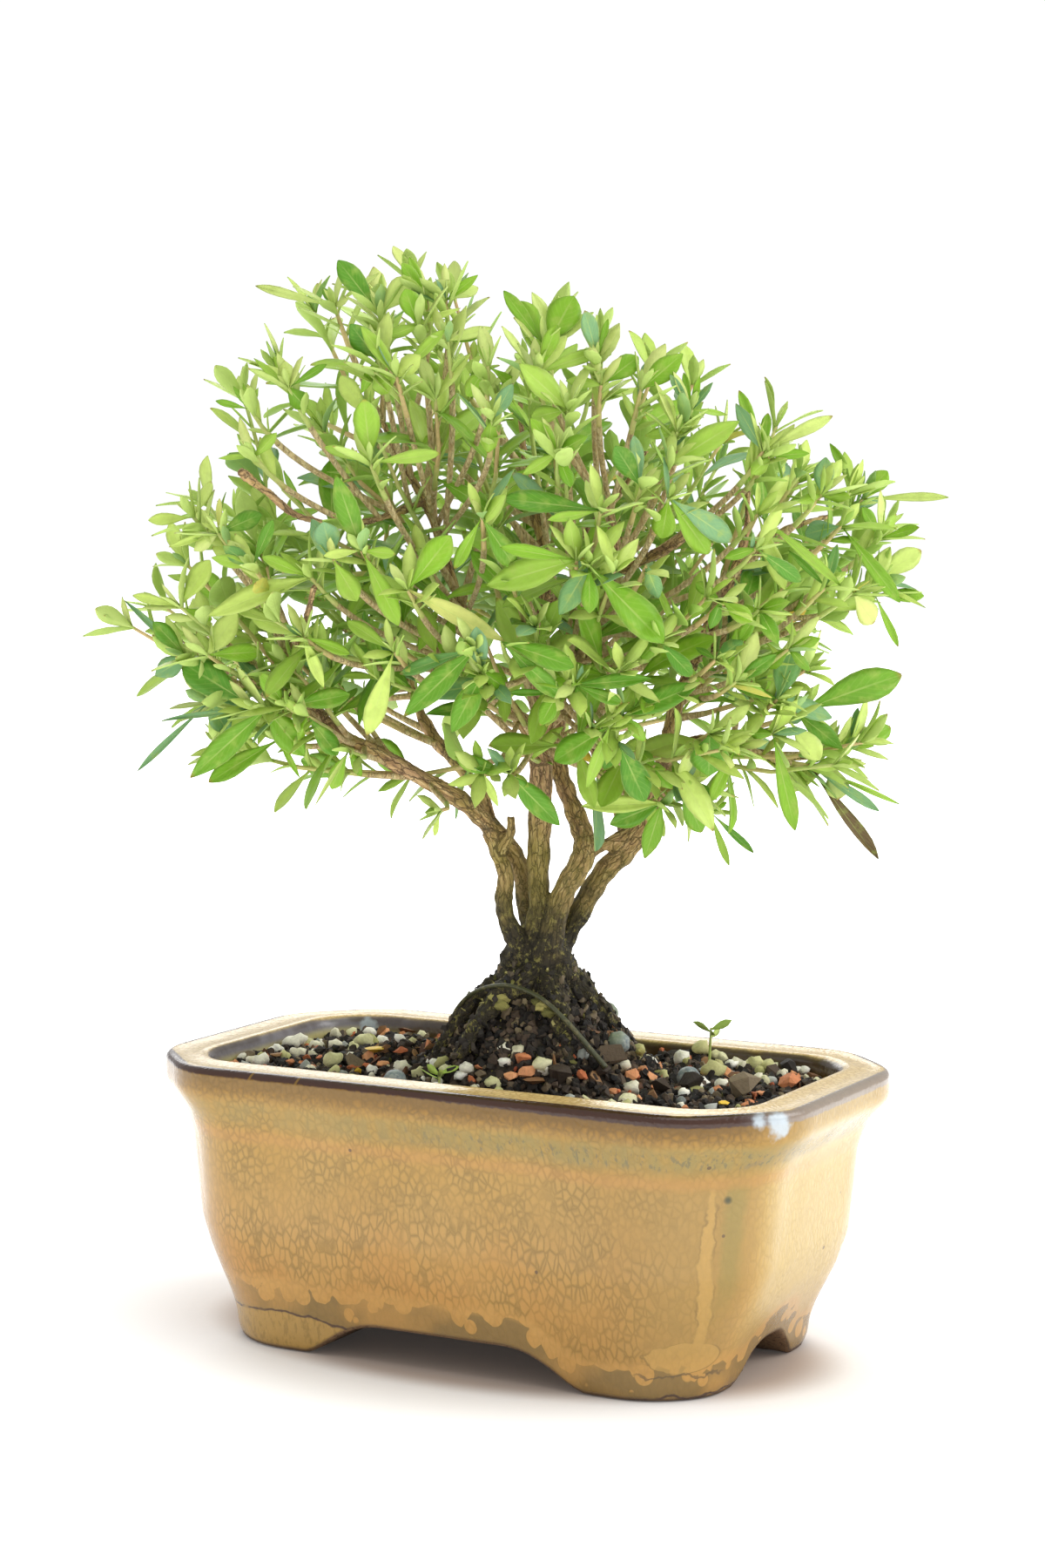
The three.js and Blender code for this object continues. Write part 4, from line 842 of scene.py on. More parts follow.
def at_height(places, height):
    """A ring's flat places with their height."""
    return np.column_stack([places, np.full(len(places), height)])


def closed_rings(rings):
    """Points and faces of a closed surface through rings, from its first middle to its last."""
    first, last = rings[0].mean(0), rings[-1].mean(0)
    sides = len(rings[0])
    points = np.concatenate([[first], *rings, [last]])
    faces = ring_faces(len(rings), sides, 1)
    end, top = 1 + (len(rings) - 1) * sides, len(points) - 1
    faces += [(0, 1 + (side + 1) % sides, 1 + side) for side in range(sides)]
    faces += [(top, end + side, end + (side + 1) % sides) for side in range(sides)]
    return points, faces


def store_pot_places(mesh):
    """Measures over the pot that its glaze follows, in millimetres."""
    points = (points_of(mesh) - np.array([POT_X, POT_Y, 0])) / MM
    x, y, z = points.T
    share = np.interp(z, WALL_LEVELS, wall_shares())
    half_x, half_y = POT_LENGTH / 2 - FOOT_INSET_X * share, POT_WIDTH / 2 - FOOT_INSET_Y * share
    cut_x, cut_y = mix(LIP_CUT, FOOT_CUT_X, share), mix(LIP_CUT, FOOT_CUT_Y, share)
    give(mesh, "panel", (half_x - np.abs(x)) / cut_x - (half_y - np.abs(y)) / cut_y)
    inset = np.minimum(POT_LENGTH / 2 - np.abs(x), POT_WIDTH / 2 - np.abs(y))
    diagonal = (POT_LENGTH / 2 + POT_WIDTH / 2 - LIP_CUT - np.abs(x) - np.abs(y)) / math.sqrt(2)
    give(mesh, "inset", np.minimum(inset, diagonal))
    reach_x = np.abs(x) - (POT_LENGTH / 2 - LIP_WIDTH - CAVITY_CORNER)
    reach_y = np.abs(y) - (POT_WIDTH / 2 - LIP_WIDTH - CAVITY_CORNER)
    beyond = np.hypot(np.maximum(reach_x, 0), np.maximum(reach_y, 0))
    rim = beyond + np.minimum(np.maximum(reach_x, reach_y), 0) - CAVITY_CORNER
    gap_x, gap_y = half_x - np.abs(x), half_y - np.abs(y)
    outer = np.minimum(np.minimum(gap_x, gap_y), (gap_x / cut_x + gap_y / cut_y - 1) * 8)
    give(mesh, "rim", np.where((outer < 3) & (z < 59.4), 20.0, rim))
    # The glaze ran down and stopped in a hem: higher on the left foot than on the right one
    under = rise_under(x, y)
    level = np.maximum(under + 1.5, mix(10.0, 2.0, smooth(-45, 40, x)) + 0.7 * np.sin(x / 7.0))
    give(mesh, "hem", z - level)
    give(mesh, "edge", z - under)


def glaze_material(settings):
    material, tree, place = new_material("Ash glaze", IOR=1.5, Coat_IOR=1.5)
    x, y, z = tree.parts(place)
    inset, rim, panel = tree.stored("inset"), tree.stored("rim"), tree.stored("panel")
    wander = tree.noise(place, 0.09, 3.0)
    drift = (wander - 0.5) * 5.0
    hem = tree.stored("hem") + drift * 0.5
    level = z + drift * 0.35
    body, net = glaze_body(tree, settings, place, x, z, panel)
    body, tongue = glaze_hem(tree, settings, body, place, z, hem)
    body = glaze_corner(tree, body, place, x, y, z, panel)
    body = glaze_lip(tree, settings, body, place, x, y, z, level, inset, rim)
    dots = tree.cells(place, 0.085)
    body = body.coated(tree.ease(dots, 0.045, 0.03, 0.0, 0.75), 82, 62, 50)
    body, _ = mottled(tree, body, place, 0.7, 0.1)
    bare = tree.ease(tree.stored("edge"), 1.2, 0.5)
    rough = settings.gloss + net * 0.08
    rough = rough + bare * 0.35
    lump = net * -0.3 + wander * 1.6
    lump = lump + tongue * 0.15
    wire_up(tree, body, rough, lump, 0.35, 0.0003)
    return material


def glaze_body(tree, settings, place, x, z, panel):
    """The wall: warm glaze under an olive net, paler on the right end face, partly its own glaze and partly
    painted light.
    """
    pushed = tree.warped(place, 0.3, 0.7)
    fine = tree.net(tree.scaled(pushed, 1, 1, 0.7), 0.66, 0.24)
    wide = tree.net(tree.scaled(pushed, 1.1, 1.1, 0.52), 1 / settings.crack_size, 0.2)
    patchy = tree.ease(tree.noise(place, 0.1, 3.0), 0.34, 0.6, 0.45, 1.0)
    low = tree.ease(z, 42, 30)
    net = wide * low + fine * (1.0 - low)
    net = net * patchy
    body = tree.blend(tree.ease(z, 14, 44), settings.glaze_low[:], settings.glaze[:])
    body = body.coated(tree.ease(tree.noise(place, 0.05, 2.0), 0.35, 0.65, 0.0, 0.4), 184, 148, 80)
    body = body.coated(tree.ease(x, 6, 46, 0.0, 0.4), 158, 122, 60)
    # Painted light: the right end face is paler, partly a paler glaze and partly a painted highlight where
    # the window on the right lights it.
    right = tree.ease(x, 54, 68) * tree.ease(abs(panel), 0.4, 2.0)
    body = body.coated(right * 0.75, 196, 170, 100)
    fade = tree.ease(panel, -1.4, 0.2, 0.3, 1.0)
    return (tree.blend(net * (fade * 0.62), body, settings.crack[:]), net)


def glaze_hem(tree, settings, body, place, z, hem):
    """Where the glaze ran down: smooth ovals over an olive band, then a thin purple hem."""
    ovals = tree.put("ShaderNodeTexVoronoi", {"Vector": tree.scaled(place, 1, 1, 0.88), "Scale": 0.24,
        "Randomness": 1.0})
    middle = tree.parts(ovals.outputs["Position"])[2] / 0.88
    middle = hem + (middle - z)
    reach = tree.ease(middle, -0.4, 4.6, 0.16, 0.6) - ovals.outputs["Distance"]
    reach = reach + tree.ease(hem, 4.4, 7.0, 0.0, 0.6)
    tongue = tree.ease(reach, -0.02, 0.03)
    near = tree.ease(hem, 8, 5)
    lobe_colour = tree.blend(tree.noise(place, 0.12, 2.0), srgb(190, 140, 70), srgb(200, 156, 86))
    pool = tree.band(hem, -2.6, -1.2, 4.4, 6.6) * (1.0 - tongue * tree.ease(hem, -0.4, 0.2))
    speck = tree.ease(tree.noise(tree.scaled(place, 1, 1, 0.35), 1.1, 4.0, 0.65), 0.48, 0.62)
    below = tree.blend(speck * 0.6, srgb(178, 142, 76), srgb(142, 114, 58))
    body = tree.blend(near * 0.7, body, lobe_colour)
    body = tree.blend(tree.ease(hem, -0.6, -2.2), body, below)
    thin = tree.ease(tree.noise(place, 0.055, 2.0), 0.36, 0.54, 0.3, 0.78)
    body = tree.blend(pool * thin, body, settings.pool[:])
    sway = hem + tree.noise(place, 0.35, 2.0) * 1.6
    thread = tree.band(sway, -1.5, -1.15, -0.95, -0.6) * tree.ease(tree.noise(place, 0.1, 3.0), 0.3, 0.44)
    body = body.coated(thread * 0.85, 66, 46, 44)
    bare = tree.ease(tree.stored("edge"), 1.3, 0.3)
    return (body.coated(bare * 0.85, 74, 54, 42), tongue)


def glaze_corner(tree, body, place, x, y, z, panel):
    """Where two runs met: a pale drip beside an olive stripe, ending in a pale pool."""
    near = tree.ease(x, 30, 40) * tree.ease(y, -12, -22)
    ripple = (tree.noise(place, 0.32, 3.0) - 0.5) * 0.32
    across = panel + ripple
    plain = near * (tree.band(across, -1.2, -0.8, 0.4, 2.0) * tree.band(z, 8, 12, 46, 52))
    body = body.coated(plain * 0.65, 162, 130, 70)
    lean = tree.ease(z, 12, 30, -0.2, 0.1) - tree.ease(z, 38, 48, 0.0, 0.08)
    off = abs(across - lean)
    thin = tree.ease(z, 26, 48, 0.17, 0.05)
    drip = tree.ease(off - thin, 0.05, -0.05) * tree.band(z, 9, 11, 44, 48)
    from_pool = tree.length(tree.out(0, "ShaderNodeCombineXYZ", {0: across, 1: (z - 9.4) / 3.4}))
    puddle = tree.ease(from_pool + ripple, 1.06, 0.96)
    pale = near * tree.math("MAXIMUM", drip, puddle)
    ring = pale * (1.0 - pale)
    ring = tree.math("MULTIPLY", ring, tree.ease(tree.noise(place, 0.16, 2.0), 0.35, 0.6, 0.6, 2.6),
        clamp=True)
    body = body.coated(pale * 0.6, 188, 150, 80)
    body = body.coated(ring, 122, 98, 52)
    under = near * tree.band(z + ripple * 14.0, 5.0, 5.3, 5.5, 5.8)
    under = under * tree.band(across, -1.5, -1.1, 0.9, 1.3)
    body = body.coated(under * 0.7, 92, 76, 54)
    foot = tree.ease(x, 62, 70) * tree.ease(z, 18, 8)
    body = body.coated(foot * 0.6, 158, 144, 96)
    green = near * (tree.band(across, -0.8, -0.5, -0.35, -0.1) * tree.band(z, 14, 30, 44, 50))
    body = body.coated(green * 0.6, 138, 124, 64)
    body = body.coated(tree.ease(tree.apart(place, (63.9, -30.9, 43.2)), 1.3, 0.5, 0.0, 0.9), 62, 66, 44)
    smudge = tree.line_gap(place, (67.6, -30.0, 50.4), (72.8, -24.0, 53.4))
    smudge = smudge + ripple * 3.0
    return body.coated(tree.ease(smudge, 1.3, 0.4, 0.0, 0.75), 96, 84, 88)


def glaze_lip(tree, settings, body, place, x, y, z, level, inset, rim):
    """Soft olive band and amber honeycomb under the lip, its cream top, dark line and inner wall, with
    painted light on the inner wall's far left and a painted sheen and painted highlights on the lip.
    """
    streak = tree.band(level, 44.5, 46.5, 47, 49) * 0.3
    body = body.coated(streak, 190, 134, 72)
    smoke = tree.ease(tree.noise(tree.scaled(place, 1, 1, 0.3), 0.4, 3.0), 0.3, 0.65)
    soft = tree.band(level, 48.0, 51.0, 53.4, 56) * (tree.math("MULTIPLY_ADD", smoke, 0.5, 0.4)
        * tree.ease(x, -60, 30, 0.6, 1.0))
    body = body.coated(soft, 146, 128, 74)
    hair = tree.noise(tree.scaled(place, 1, 1, 0.22), 1.1, 3.0, 0.6)
    hair = tree.ease(hair, 0.52, 0.66) * (tree.band(level, 49.0, 50.5, 52.5, 54.5) * tree.ease(x, -25, 25))
    body = body.coated(hair * 0.55, 96, 96, 78)
    comb = tree.net(tree.warped(place, 0.6, 1.0), 0.6, 0.34)
    wax = tree.blend(comb, srgb(148, 106, 18), srgb(112, 80, 12))
    wax = wax.coated(tree.ease(z, 56.4, 59.2), 108, 76, 8)
    strong = tree.ease(level, 53.8, 57.6) * tree.ease(x, -60, 40, 0.75, 0.95)
    end_face = tree.ease(x, 68, 73, 1.0, 0.4)
    body = tree.blend(strong * end_face, body, wax)

    freckle = tree.net(tree.warped(place, 0.6, 0.8), 0.75, 0.22)
    cream = tree.blend(tree.noise(place, 0.06, 2.0), srgb(232, 202, 140), srgb(222, 192, 130))
    cream = cream.coated(freckle * 0.55, 168, 132, 62)
    top = tree.ease(inset, 1.3, 2.6) * tree.ease(z, 58.5, 59.2)
    body = tree.blend(top, body, cream)
    ragged = z + (tree.noise(place, 0.7, 3.0) - 0.5) * 0.8
    ragged = ragged + tree.ease(x, -30, 60, 0.0, 0.9)
    line = tree.ease(ragged, 59.7, 60.2) * tree.ease(inset, 2.3, 1.6)
    for crack in (-41.5, -30.0):
        slant = abs(x - z * 0.5 - (crack - 30.0))
        line = line * tree.ease(slant, 0.15, 0.45, 0.15, 1.0)
    # At the right front corner the lip's dark line turns grey and fades: a painted sheen of the light from
    # the right on the rounded edge.
    side = tree.ease(x, 62, 72) * tree.ease(y, -36, -26)
    line_and_sheen_colour = tree.blend(side, settings.line[:], srgb(124, 118, 120))
    body = tree.blend(line * tree.ease(side, 0, 1, 1.0, 0.7), body, line_and_sheen_colour)
    # Painted light: at the far left end the inner wall is lighter, where it faces the window on the right,
    # and the blue-grey band along its top is a painted reflection.
    far_left = tree.ease(x, -36, -56)
    deep = tree.blend(tree.ease(z, 55, 60.6), srgb(132, 100, 44), srgb(96, 74, 36))
    deep = deep.coated(tree.noise(place, 0.3, 2.0) * 0.7, 70, 54, 34)
    pale = tree.blend(tree.ease(z, 57.6, 59.6), srgb(216, 204, 146), srgb(150, 146, 158))
    deep = tree.blend(far_left * 0.85, deep, pale)
    body = tree.blend(tree.ease(rim, 0.9, 0.1), body, deep)
    inner = tree.band(rim, -0.6, 0.0, 0.5, 1.1) * tree.ease(
        tree.noise(place, 0.1, 2.0), 0.35, 0.55, 0.25, 0.85)
    body = body.coated(inner, 84, 72, 66)
    # Painted highlights: blue-white spots on the lip's right front corner and at its back left, where it
    # reflects the lights.
    highlight_blur = (tree.noise(place, 0.3, 3.0) - 0.5) * 5.0
    for spot, size in (((74.2, -28.6, 59.2), 3.4), ((71.0, -31.4, 59.9), 2.2), ((-57.0, 30.5, 58.6), 2.6)):
        gap = tree.apart(place, spot) + highlight_blur
        body = body.coated(tree.ease(gap, size, size - 1.6, 0.0, 0.85), 188, 200, 208)
    return body


def clay_material():
    material, tree, place = new_material("Bare fired clay")
    spots = tree.ease(tree.noise(place, 1.6, 4.0, 0.7), 0.45, 0.65)
    colour = tree.blend(spots, srgb(122, 96, 68), srgb(84, 62, 44))
    colour, _ = mottled(tree, colour, place, 0.5, 0.3)
    wire_up(tree, colour, tree.ease(spots, 0, 1, 0.7, 0.9), spots, 0.3)
    return material


def make_pot(settings):
    points, faces = closed_rings(pot_rings())
    walls = smooth(6, 20, points[:, 2]) * smooth(60, 52, points[:, 2])
    ripples = [roughened(points * [1, 1, 0.8] + shift, RIPPLE_SCALE, RIPPLE_HEIGHT, seed)
        for shift, seed in (([0, 0, 9], 3.0), ([-9, 0, 0], 8.0))]
    points[:, :2] += np.column_stack(ripples) * walls[:, None]
    body = object_from("pot_form", mesh_from("pot_form", in_pot_axes(points), faces))
    drills = []
    for side in (-1, 1):
        bore = bmesh.new()
        bmesh.ops.create_cone(bore, cap_ends=True, segments=40, radius1=DRAIN_RADIUS * MM,
            radius2=DRAIN_RADIUS * MM, depth=0.03)
        bmesh.ops.translate(bore, verts=bore.verts, vec=(POT_X + side * DRAIN_OFFSET * MM, POT_Y, 0.01))
        mesh = bpy.data.meshes.new("drill")
        bore.to_mesh(mesh)
        bore.free()
        drill = object_from("drill", mesh)
        cut = body.modifiers.new("drain hole", "BOOLEAN")
        cut.operation, cut.object, cut.solver = "DIFFERENCE", drill, "EXACT"
        drills.append(drill)
    mesh = baked(body, "glazed_pot")
    remove(body, *drills)
    mesh.materials.clear()
    mesh.materials.append(glaze_material(settings))
    mesh.materials.append(clay_material())
    places = points_of(mesh)
    for face in mesh.polygons:
        middle = face.center
        drained = math.hypot(abs(middle.x - POT_X) - DRAIN_OFFSET * MM, middle.y - POT_Y) < 0.0058
        low = middle.z < 0.0135 and face.normal.z < -0.5
        face.material_index = 1 if low or (drained and middle.z < 0.015) else 0
    store_pot_places(mesh)
    middle = np.array([POT_X, POT_Y, 0])
    wide = middle + stretched((places - middle) / MM) * MM
    mesh.vertices.foreach_set("co", wide.ravel())
    return finish_piece(object_from("glazed_pot", mesh), "glazed_pot", "pot")


# Soil and litter

def to_tree(points):
    """From the pot's axes to the tree's."""
    cos, sin = math.cos(TREE_TURN), math.sin(TREE_TURN)
    return points[:, 0] * cos + points[:, 1] * sin, -points[:, 0] * sin + points[:, 1] * cos


def ground(x, y):
    """Top of the soil with the low heaps behind the roots, in the tree's axes."""
    rise = 0
    for heap_x, heap_y, height, spread in HEAPS:
        rise = rise + height * np.exp(-((x - heap_x) ** 2 + (y - heap_y) ** 2) / spread ** 2)
    return soil_height(x, y) + rise


def soil_top(flat):
    """Crumbled top of the soil over places in the pot's axes."""
    x, y = to_tree(flat)
    level = at_height(flat, 0.0)
    mound = smooth(SOIL_LEVEL, SOIL_LEVEL + 6, soil_height(x, y))
    return (ground(x, y) + roughened(level, 0.11, 0.9, 2.0, 3) * (1 + mound)
        + roughened(level, 0.45, 0.9, 5.0, 3) - 0.4)


def make_soil():
    rim = inside_outline(-SOIL_GAP, SOIL_LEVEL)
    rings = [at_height(inside_outline(-SOIL_GAP, height), height)
        for height in (CAVITY_FLOOR + 0.4, 30, 45, SOIL_LEVEL - 3.5)]
    for share in np.linspace(1, 0.01, 90):
        flat = rim * share
        rings.append(np.column_stack([flat, soil_top(flat)]))
    points, faces = closed_rings(rings)
    mesh = mesh_from("soil_bed", in_pot_axes(stretched(points)), faces)
    x, y = to_tree(points)
    margin = np.minimum(POT_LENGTH / 2 - LIP_WIDTH - np.abs(points[:, 0]),
        POT_WIDTH / 2 - LIP_WIDTH - np.abs(points[:, 1]))
    open_top = smooth(1.6, 4.0, margin) * (points[:, 2] > SOIL_LEVEL - 3.2)
    crown = smooth(1.5, 0.85, ((x - CROWN_X) / 9) ** 2 + (y / 8.5) ** 2)
    raised = smooth(1.5, 9, soil_height(x, y) - SOIL_LEVEL)
    give(mesh, "crumbs", open_top * (1 - crown) * (1 + 0.8 * raised))
    give(mesh, "stones", open_top * (1 - raised))
    give(mesh, "chips", open_top * (1 - crown) * (1 - 0.55 * raised))
    give(mesh, "moss", raised * (1 - crown) + 0.15 * open_top)
    material, tree, place = new_material("Dark compost")
    grain = tree.noise(place, 1.4, 5.0, 0.7)
    colour = tree.blend(tree.ease(grain, 0.35, 0.7), srgb(30, 25, 20), srgb(74, 62, 48))
    wire_up(tree, colour, tree.ease(grain, 0, 1, 0.7, 0.95), grain, 0.7, 0.0006)
    mesh.materials.append(material)
    return finish_piece(object_from("soil_bed", mesh), "soil_mix", "soil")


def litter_tree():
    """Scatters the shapes of a collection over a surface, each with its own tone."""
    tree, given, out = new_group("Scatter litter", "GeometryNodeTree",
        {"Geometry": "Geometry", "Shapes": "Collection", "Where": "String", "Per square metre": "Float",
        "Smallest": "Float", "Largest": "Float", "Lift": "Float", "Lying": "Float", "Seed": "Int",
        "Material": "Material"}, {"Geometry": "Geometry"})

    def drawn(low, high, seed=given["Seed"]):
        """A random number or vector for each piece."""
        first, kind = (0, "FLOAT_VECTOR") if isinstance(low, tuple) else (2, "FLOAT")
        return tree.out(first // 2, "FunctionNodeRandomValue", {first: low, first + 1: high, "Seed": seed},
            data_type=kind)

    where = tree.out(0, "GeometryNodeInputNamedAttribute", {"Name": given["Where"]}, data_type="FLOAT")
    spread = tree.out("Points", "GeometryNodeDistributePointsOnFaces",
        {"Mesh": given["Geometry"], "Density": where * given["Per square metre"], "Seed": given["Seed"]},
        distribute_method="RANDOM")
    lying = drawn((-0.35, -0.35, 0), (0.35, 0.35, 6.283))
    tumbled = drawn((0, 0, 0), (6.283, 6.283, 6.283))
    facing = tree.out(1, "ShaderNodeMix", {0: given["Lying"], 4: tumbled, 5: lying}, data_type="VECTOR")
    lift = tree.out(0, "ShaderNodeCombineXYZ", {2: given["Lift"]})
    raised = tree.out(0, "GeometryNodeSetPosition", {"Geometry": spread, "Offset": lift})
    copies = tree.out(0, "GeometryNodeInstanceOnPoints", {
        "Points": raised, "Instance": shapes_from(tree, given["Shapes"]), "Pick Instance": True,
        "Rotation": tree.out(0, "FunctionNodeEulerToRotation", {0: facing}),
        "Scale": drawn(given["Smallest"], given["Largest"])})
    toned = tree.out(0, "GeometryNodeStoreNamedAttribute",
        {"Geometry": copies, "Name": "tone", "Value": drawn(0.0, 1.0, 7)}, data_type="FLOAT",
        domain="INSTANCE")
    return made_real(tree, toned, given, out)


def shapes_from(tree, collection):
    return tree.out(0, "GeometryNodeCollectionInfo", {"Collection": collection, "Separate Children": True,
        "Reset Children": True})


def made_real(tree, copies, given, out):
    """Ends a tree for a modifier: the copies as plain meshes, with their material."""
    real = tree.out(0, "GeometryNodeRealizeInstances", {0: copies})
    tree.feed(out["Geometry"], tree.out(0, "GeometryNodeSetMaterial",
        {"Geometry": real, "Material": given["Material"]}))
    tree.group.is_modifier = True
    return tree.group


def worked(piece, tree, name, **values):
    """Plain mesh that a tree makes of a piece, which is then removed. Its inputs go by their names."""
    modifier = piece.modifiers.new("nodes", "NODES")
    modifier.node_group = tree
    wanted = {key.replace("_", " "): value for key, value in values.items()}
    for item in tree.interface.items_tree:
        if item.item_type == "SOCKET" and item.in_out == "INPUT" and item.name in wanted:
            modifier[item.identifier] = wanted.pop(item.name)
    if wanted:
        raise RuntimeError("no such input: " + ", ".join(wanted))
    piece.update_tag()
    mesh = baked(piece, name)
    remove(piece)
    return mesh


def lump_mesh(name, seed, squash, corners):
    """A small stone, chip or crumb, one unit across: bumpy, or broken with flat faces."""
    shape = bmesh.new()
    if corners:
        rng = np.random.default_rng(seed)
        for spot in rng.normal(0, 1, (corners, 3)):
            shape.verts.new(Vector(spot).normalized() * 0.5)
        hull = bmesh.ops.convex_hull(shape, input=shape.verts)
        bmesh.ops.delete(shape, geom=hull["geom_interior"] + hull["geom_unused"], context="VERTS")
    else:
        bmesh.ops.create_icosphere(shape, subdivisions=2, radius=0.5)
        for vertex in shape.verts:
            push = noise.fractal(vertex.co * 2.4 + Vector((seed * 3.1, seed, 0)), 1.0, 2.0, 3)
            vertex.co *= 1 + 0.54 * push
    for vertex in shape.verts:
        vertex.co = Vector([part * amount for part, amount in zip(vertex.co, squash)])
    mesh = bpy.data.meshes.new(name)
    shape.to_mesh(mesh)
    shape.free()
    return mesh


def litter_material(name, stops, roughness):
    material, tree, place = new_material(name)
    colour = tree.ramp(tree.stored("tone"), [(at, srgb(*rgb)) for at, rgb in stops])
    colour, grain = mottled(tree, colour, place, 1.6, 0.35)
    wire_up(tree, colour, tree.ease(grain, 0.2, 0.8, roughness - 0.08, roughness + 0.05), grain, 0.5, 0.0003)
    return material


# Each kind of litter: name, shape, where, pieces per square metre, sizes in mm, lift, lying, roughness,
# colours
LITTER = [
    ("compost_crumbs", "crumb", "crumbs", 420000, (1.0, 3.6), 0.5, 0.0, 0.8,
     [(0, (18, 15, 13)), (0.5, (44, 37, 31)), (0.85, (84, 68, 54)), (1, (140, 124, 96))]),
    ("bark_chips", "chip", "chips", 15000, (2.6, 6.0), 0.6, 0.75, 0.75,
     [(0, (72, 48, 36)), (0.5, (118, 80, 54)), (1, (164, 124, 82))]),
    ("orange_clay", "shard", "chips", 13000, (1.4, 4.2), 0.8, 0.2, 0.85,
     [(0, (150, 74, 46)), (0.5, (200, 114, 72)), (1, (236, 170, 120))]),
    ("cream_pumice", "pebble", "stones", 9500, (1.6, 3.6), 0.9, 0.0, 0.9,
     [(0, (204, 198, 166)), (0.5, (236, 230, 206)), (1, (252, 250, 240))]),
    ("green_pumice", "pebble", "stones", 5000, (2.2, 4.6), 0.9, 0.0, 0.9,
     [(0, (164, 162, 98)), (0.5, (202, 198, 140)), (1, (228, 224, 184))]),
    ("grey_grit", "pebble", "stones", 3500, (2.0, 3.6), 0.7, 0.0, 0.65,
     [(0, (116, 122, 118)), (1, (180, 182, 174))]),
    ("yellow_leaf_bits", "chip", "chips", 250, (3.0, 4.4), 1.2, 0.9, 0.6,
     [(0, (236, 190, 50)), (1, (246, 208, 76))]),
    ("moss_flecks", "chip", "moss", 60000, (0.7, 2.0), 0.7, 0.0, 0.9,
     [(0, (54, 58, 28)), (0.5, (104, 102, 50)), (1, (176, 166, 98))]),
]
ROOT_LITTER = [
    ("root_crumbs", "crumb", "low_roots", 260000, (0.9, 2.6), 0.0, 0.0, 0.8,
     [(0, (22, 19, 17)), (0.6, (54, 47, 40)), (1, (112, 98, 76))]),
    ("root_moss", "chip", "low_roots", 90000, (0.7, 1.9), 0.3, 0.0, 0.9,
     [(0, (64, 66, 32)), (0.5, (122, 118, 62)), (1, (190, 180, 116))]),
]
# Squash, number of corners before hulling, whether its faces stay flat
SHAPES = {"crumb": ((1, 0.85, 0.75), 13, True), "chip": ((1, 0.6, 0.22), 12, True),
          "shard": ((1, 0.8, 0.55), 14, True), "pebble": ((1, 0.82, 0.7), 0, False)}
# Stones that show in the photograph: pixel of the middle, width in mm, shape
SHOWN_STONES = {
    "orange_clay": ("shard", (600, 1215, 4.6), (606, 1230, 4.6), (551, 1226, 3), (587, 1236, 4.2),
        (646, 1199, 3.2), (667, 1234, 4.4), (725, 1234, 5), (748, 1235, 3.8), (460, 1208, 3.6),
        (440, 1222, 3.4), (403, 1227, 3.4), (906, 1241, 6), (332, 1220, 3), (752, 1248, 3),
        (506, 1183, 2.2)),
    "cream_pumice": ("pebble", (580, 1204, 3.4), (580, 1219, 3), (536, 1226, 3.6), (529, 1235, 3),
        (462, 1226, 4.2), (726, 1248, 4.4), (785, 1254, 3), (460, 1193, 3), (845, 1212, 2.6),
        (841, 1222, 3), (870, 1237, 3), (828, 1244, 3.2), (334, 1197, 4), (345, 1193, 4),
        (343, 1209, 4), (299, 1218, 4), (385, 1199, 3.5), (437, 1195, 3.4), (277, 1214, 2.6),
        (362, 1200, 3), (318, 1204, 3.2), (916, 1212, 2.6), (403, 1213, 2.8), (427, 1228, 3),
        (782, 1215, 4.2), (424, 1186, 3.4), (716, 1222, 3.2), (924, 1219, 3)),
    "green_pumice": ("pebble", (482, 1232, 3.8), (514, 1229, 3.8), (566, 1243, 3.8), (622, 1222, 4.2),
        (869, 1206, 4.4), (881, 1209, 4.4), (861, 1217, 3.4), (829, 1212, 3),
        (819, 1228, 5), (885, 1217, 3.6), (803, 1201, 5), (382, 1217, 5), (417, 1196, 4.6),
        (822, 1191, 3.2)),
    "bark_chips": ("chip", (612, 1241, 7), (498, 1201, 5), (467, 1182, 5), (320, 1211, 5), (845, 1234, 4)),
    "yellow_leaf_bits": ("chip", (429, 1205, 6.5)),
    "moss_flecks": ("pebble", (574, 1140, 4.2), (572, 1147, 4.4), (575, 1154, 3.4), (623, 1156, 3.2),
        (629, 1163, 3.0), (616, 1150, 2.6), (735, 1207, 2.6)),
    "compost_crumbs": ("crumb", (642, 1234, 6.5), (701, 1213, 8), (760, 1248, 5.5), (855, 1247, 8.5),
        (794, 1242, 6), (906, 1219, 5), (887, 1229, 4.5), (407, 1219, 6),
        (366, 1208, 4), (287, 1212, 3.5), (520, 1233, 5), (690, 1228, 5)),
}


def inside_walls(place, room=0.0):
    """Whether a place in the tree's axes lies inside the lip's opening."""
    x, y = np.abs(turned(place)[:2]) + room
    half_x, half_y = POT_LENGTH / 2 - LIP_WIDTH, POT_WIDTH / 2 - LIP_WIDTH
    return x < half_x and y < half_y and x + y < half_x + half_y - CAVITY_CORNER * CUT_SHARE


def on_soil(pixel, lift, room):
    """Place on the soil that shows at a pixel; one by the back wall drops down to the soil."""
    depth = -60.0
    place = behind(pixel, depth)
    while place[2] > ground(place[0], place[1]) + lift:
        further = behind(pixel, depth + 0.5)
        if depth > 0 and not inside_walls(further, room):
            break
        depth, place = depth + 0.5, further
    place[2] = min(place[2], ground(place[0], place[1]) + lift)
    return place


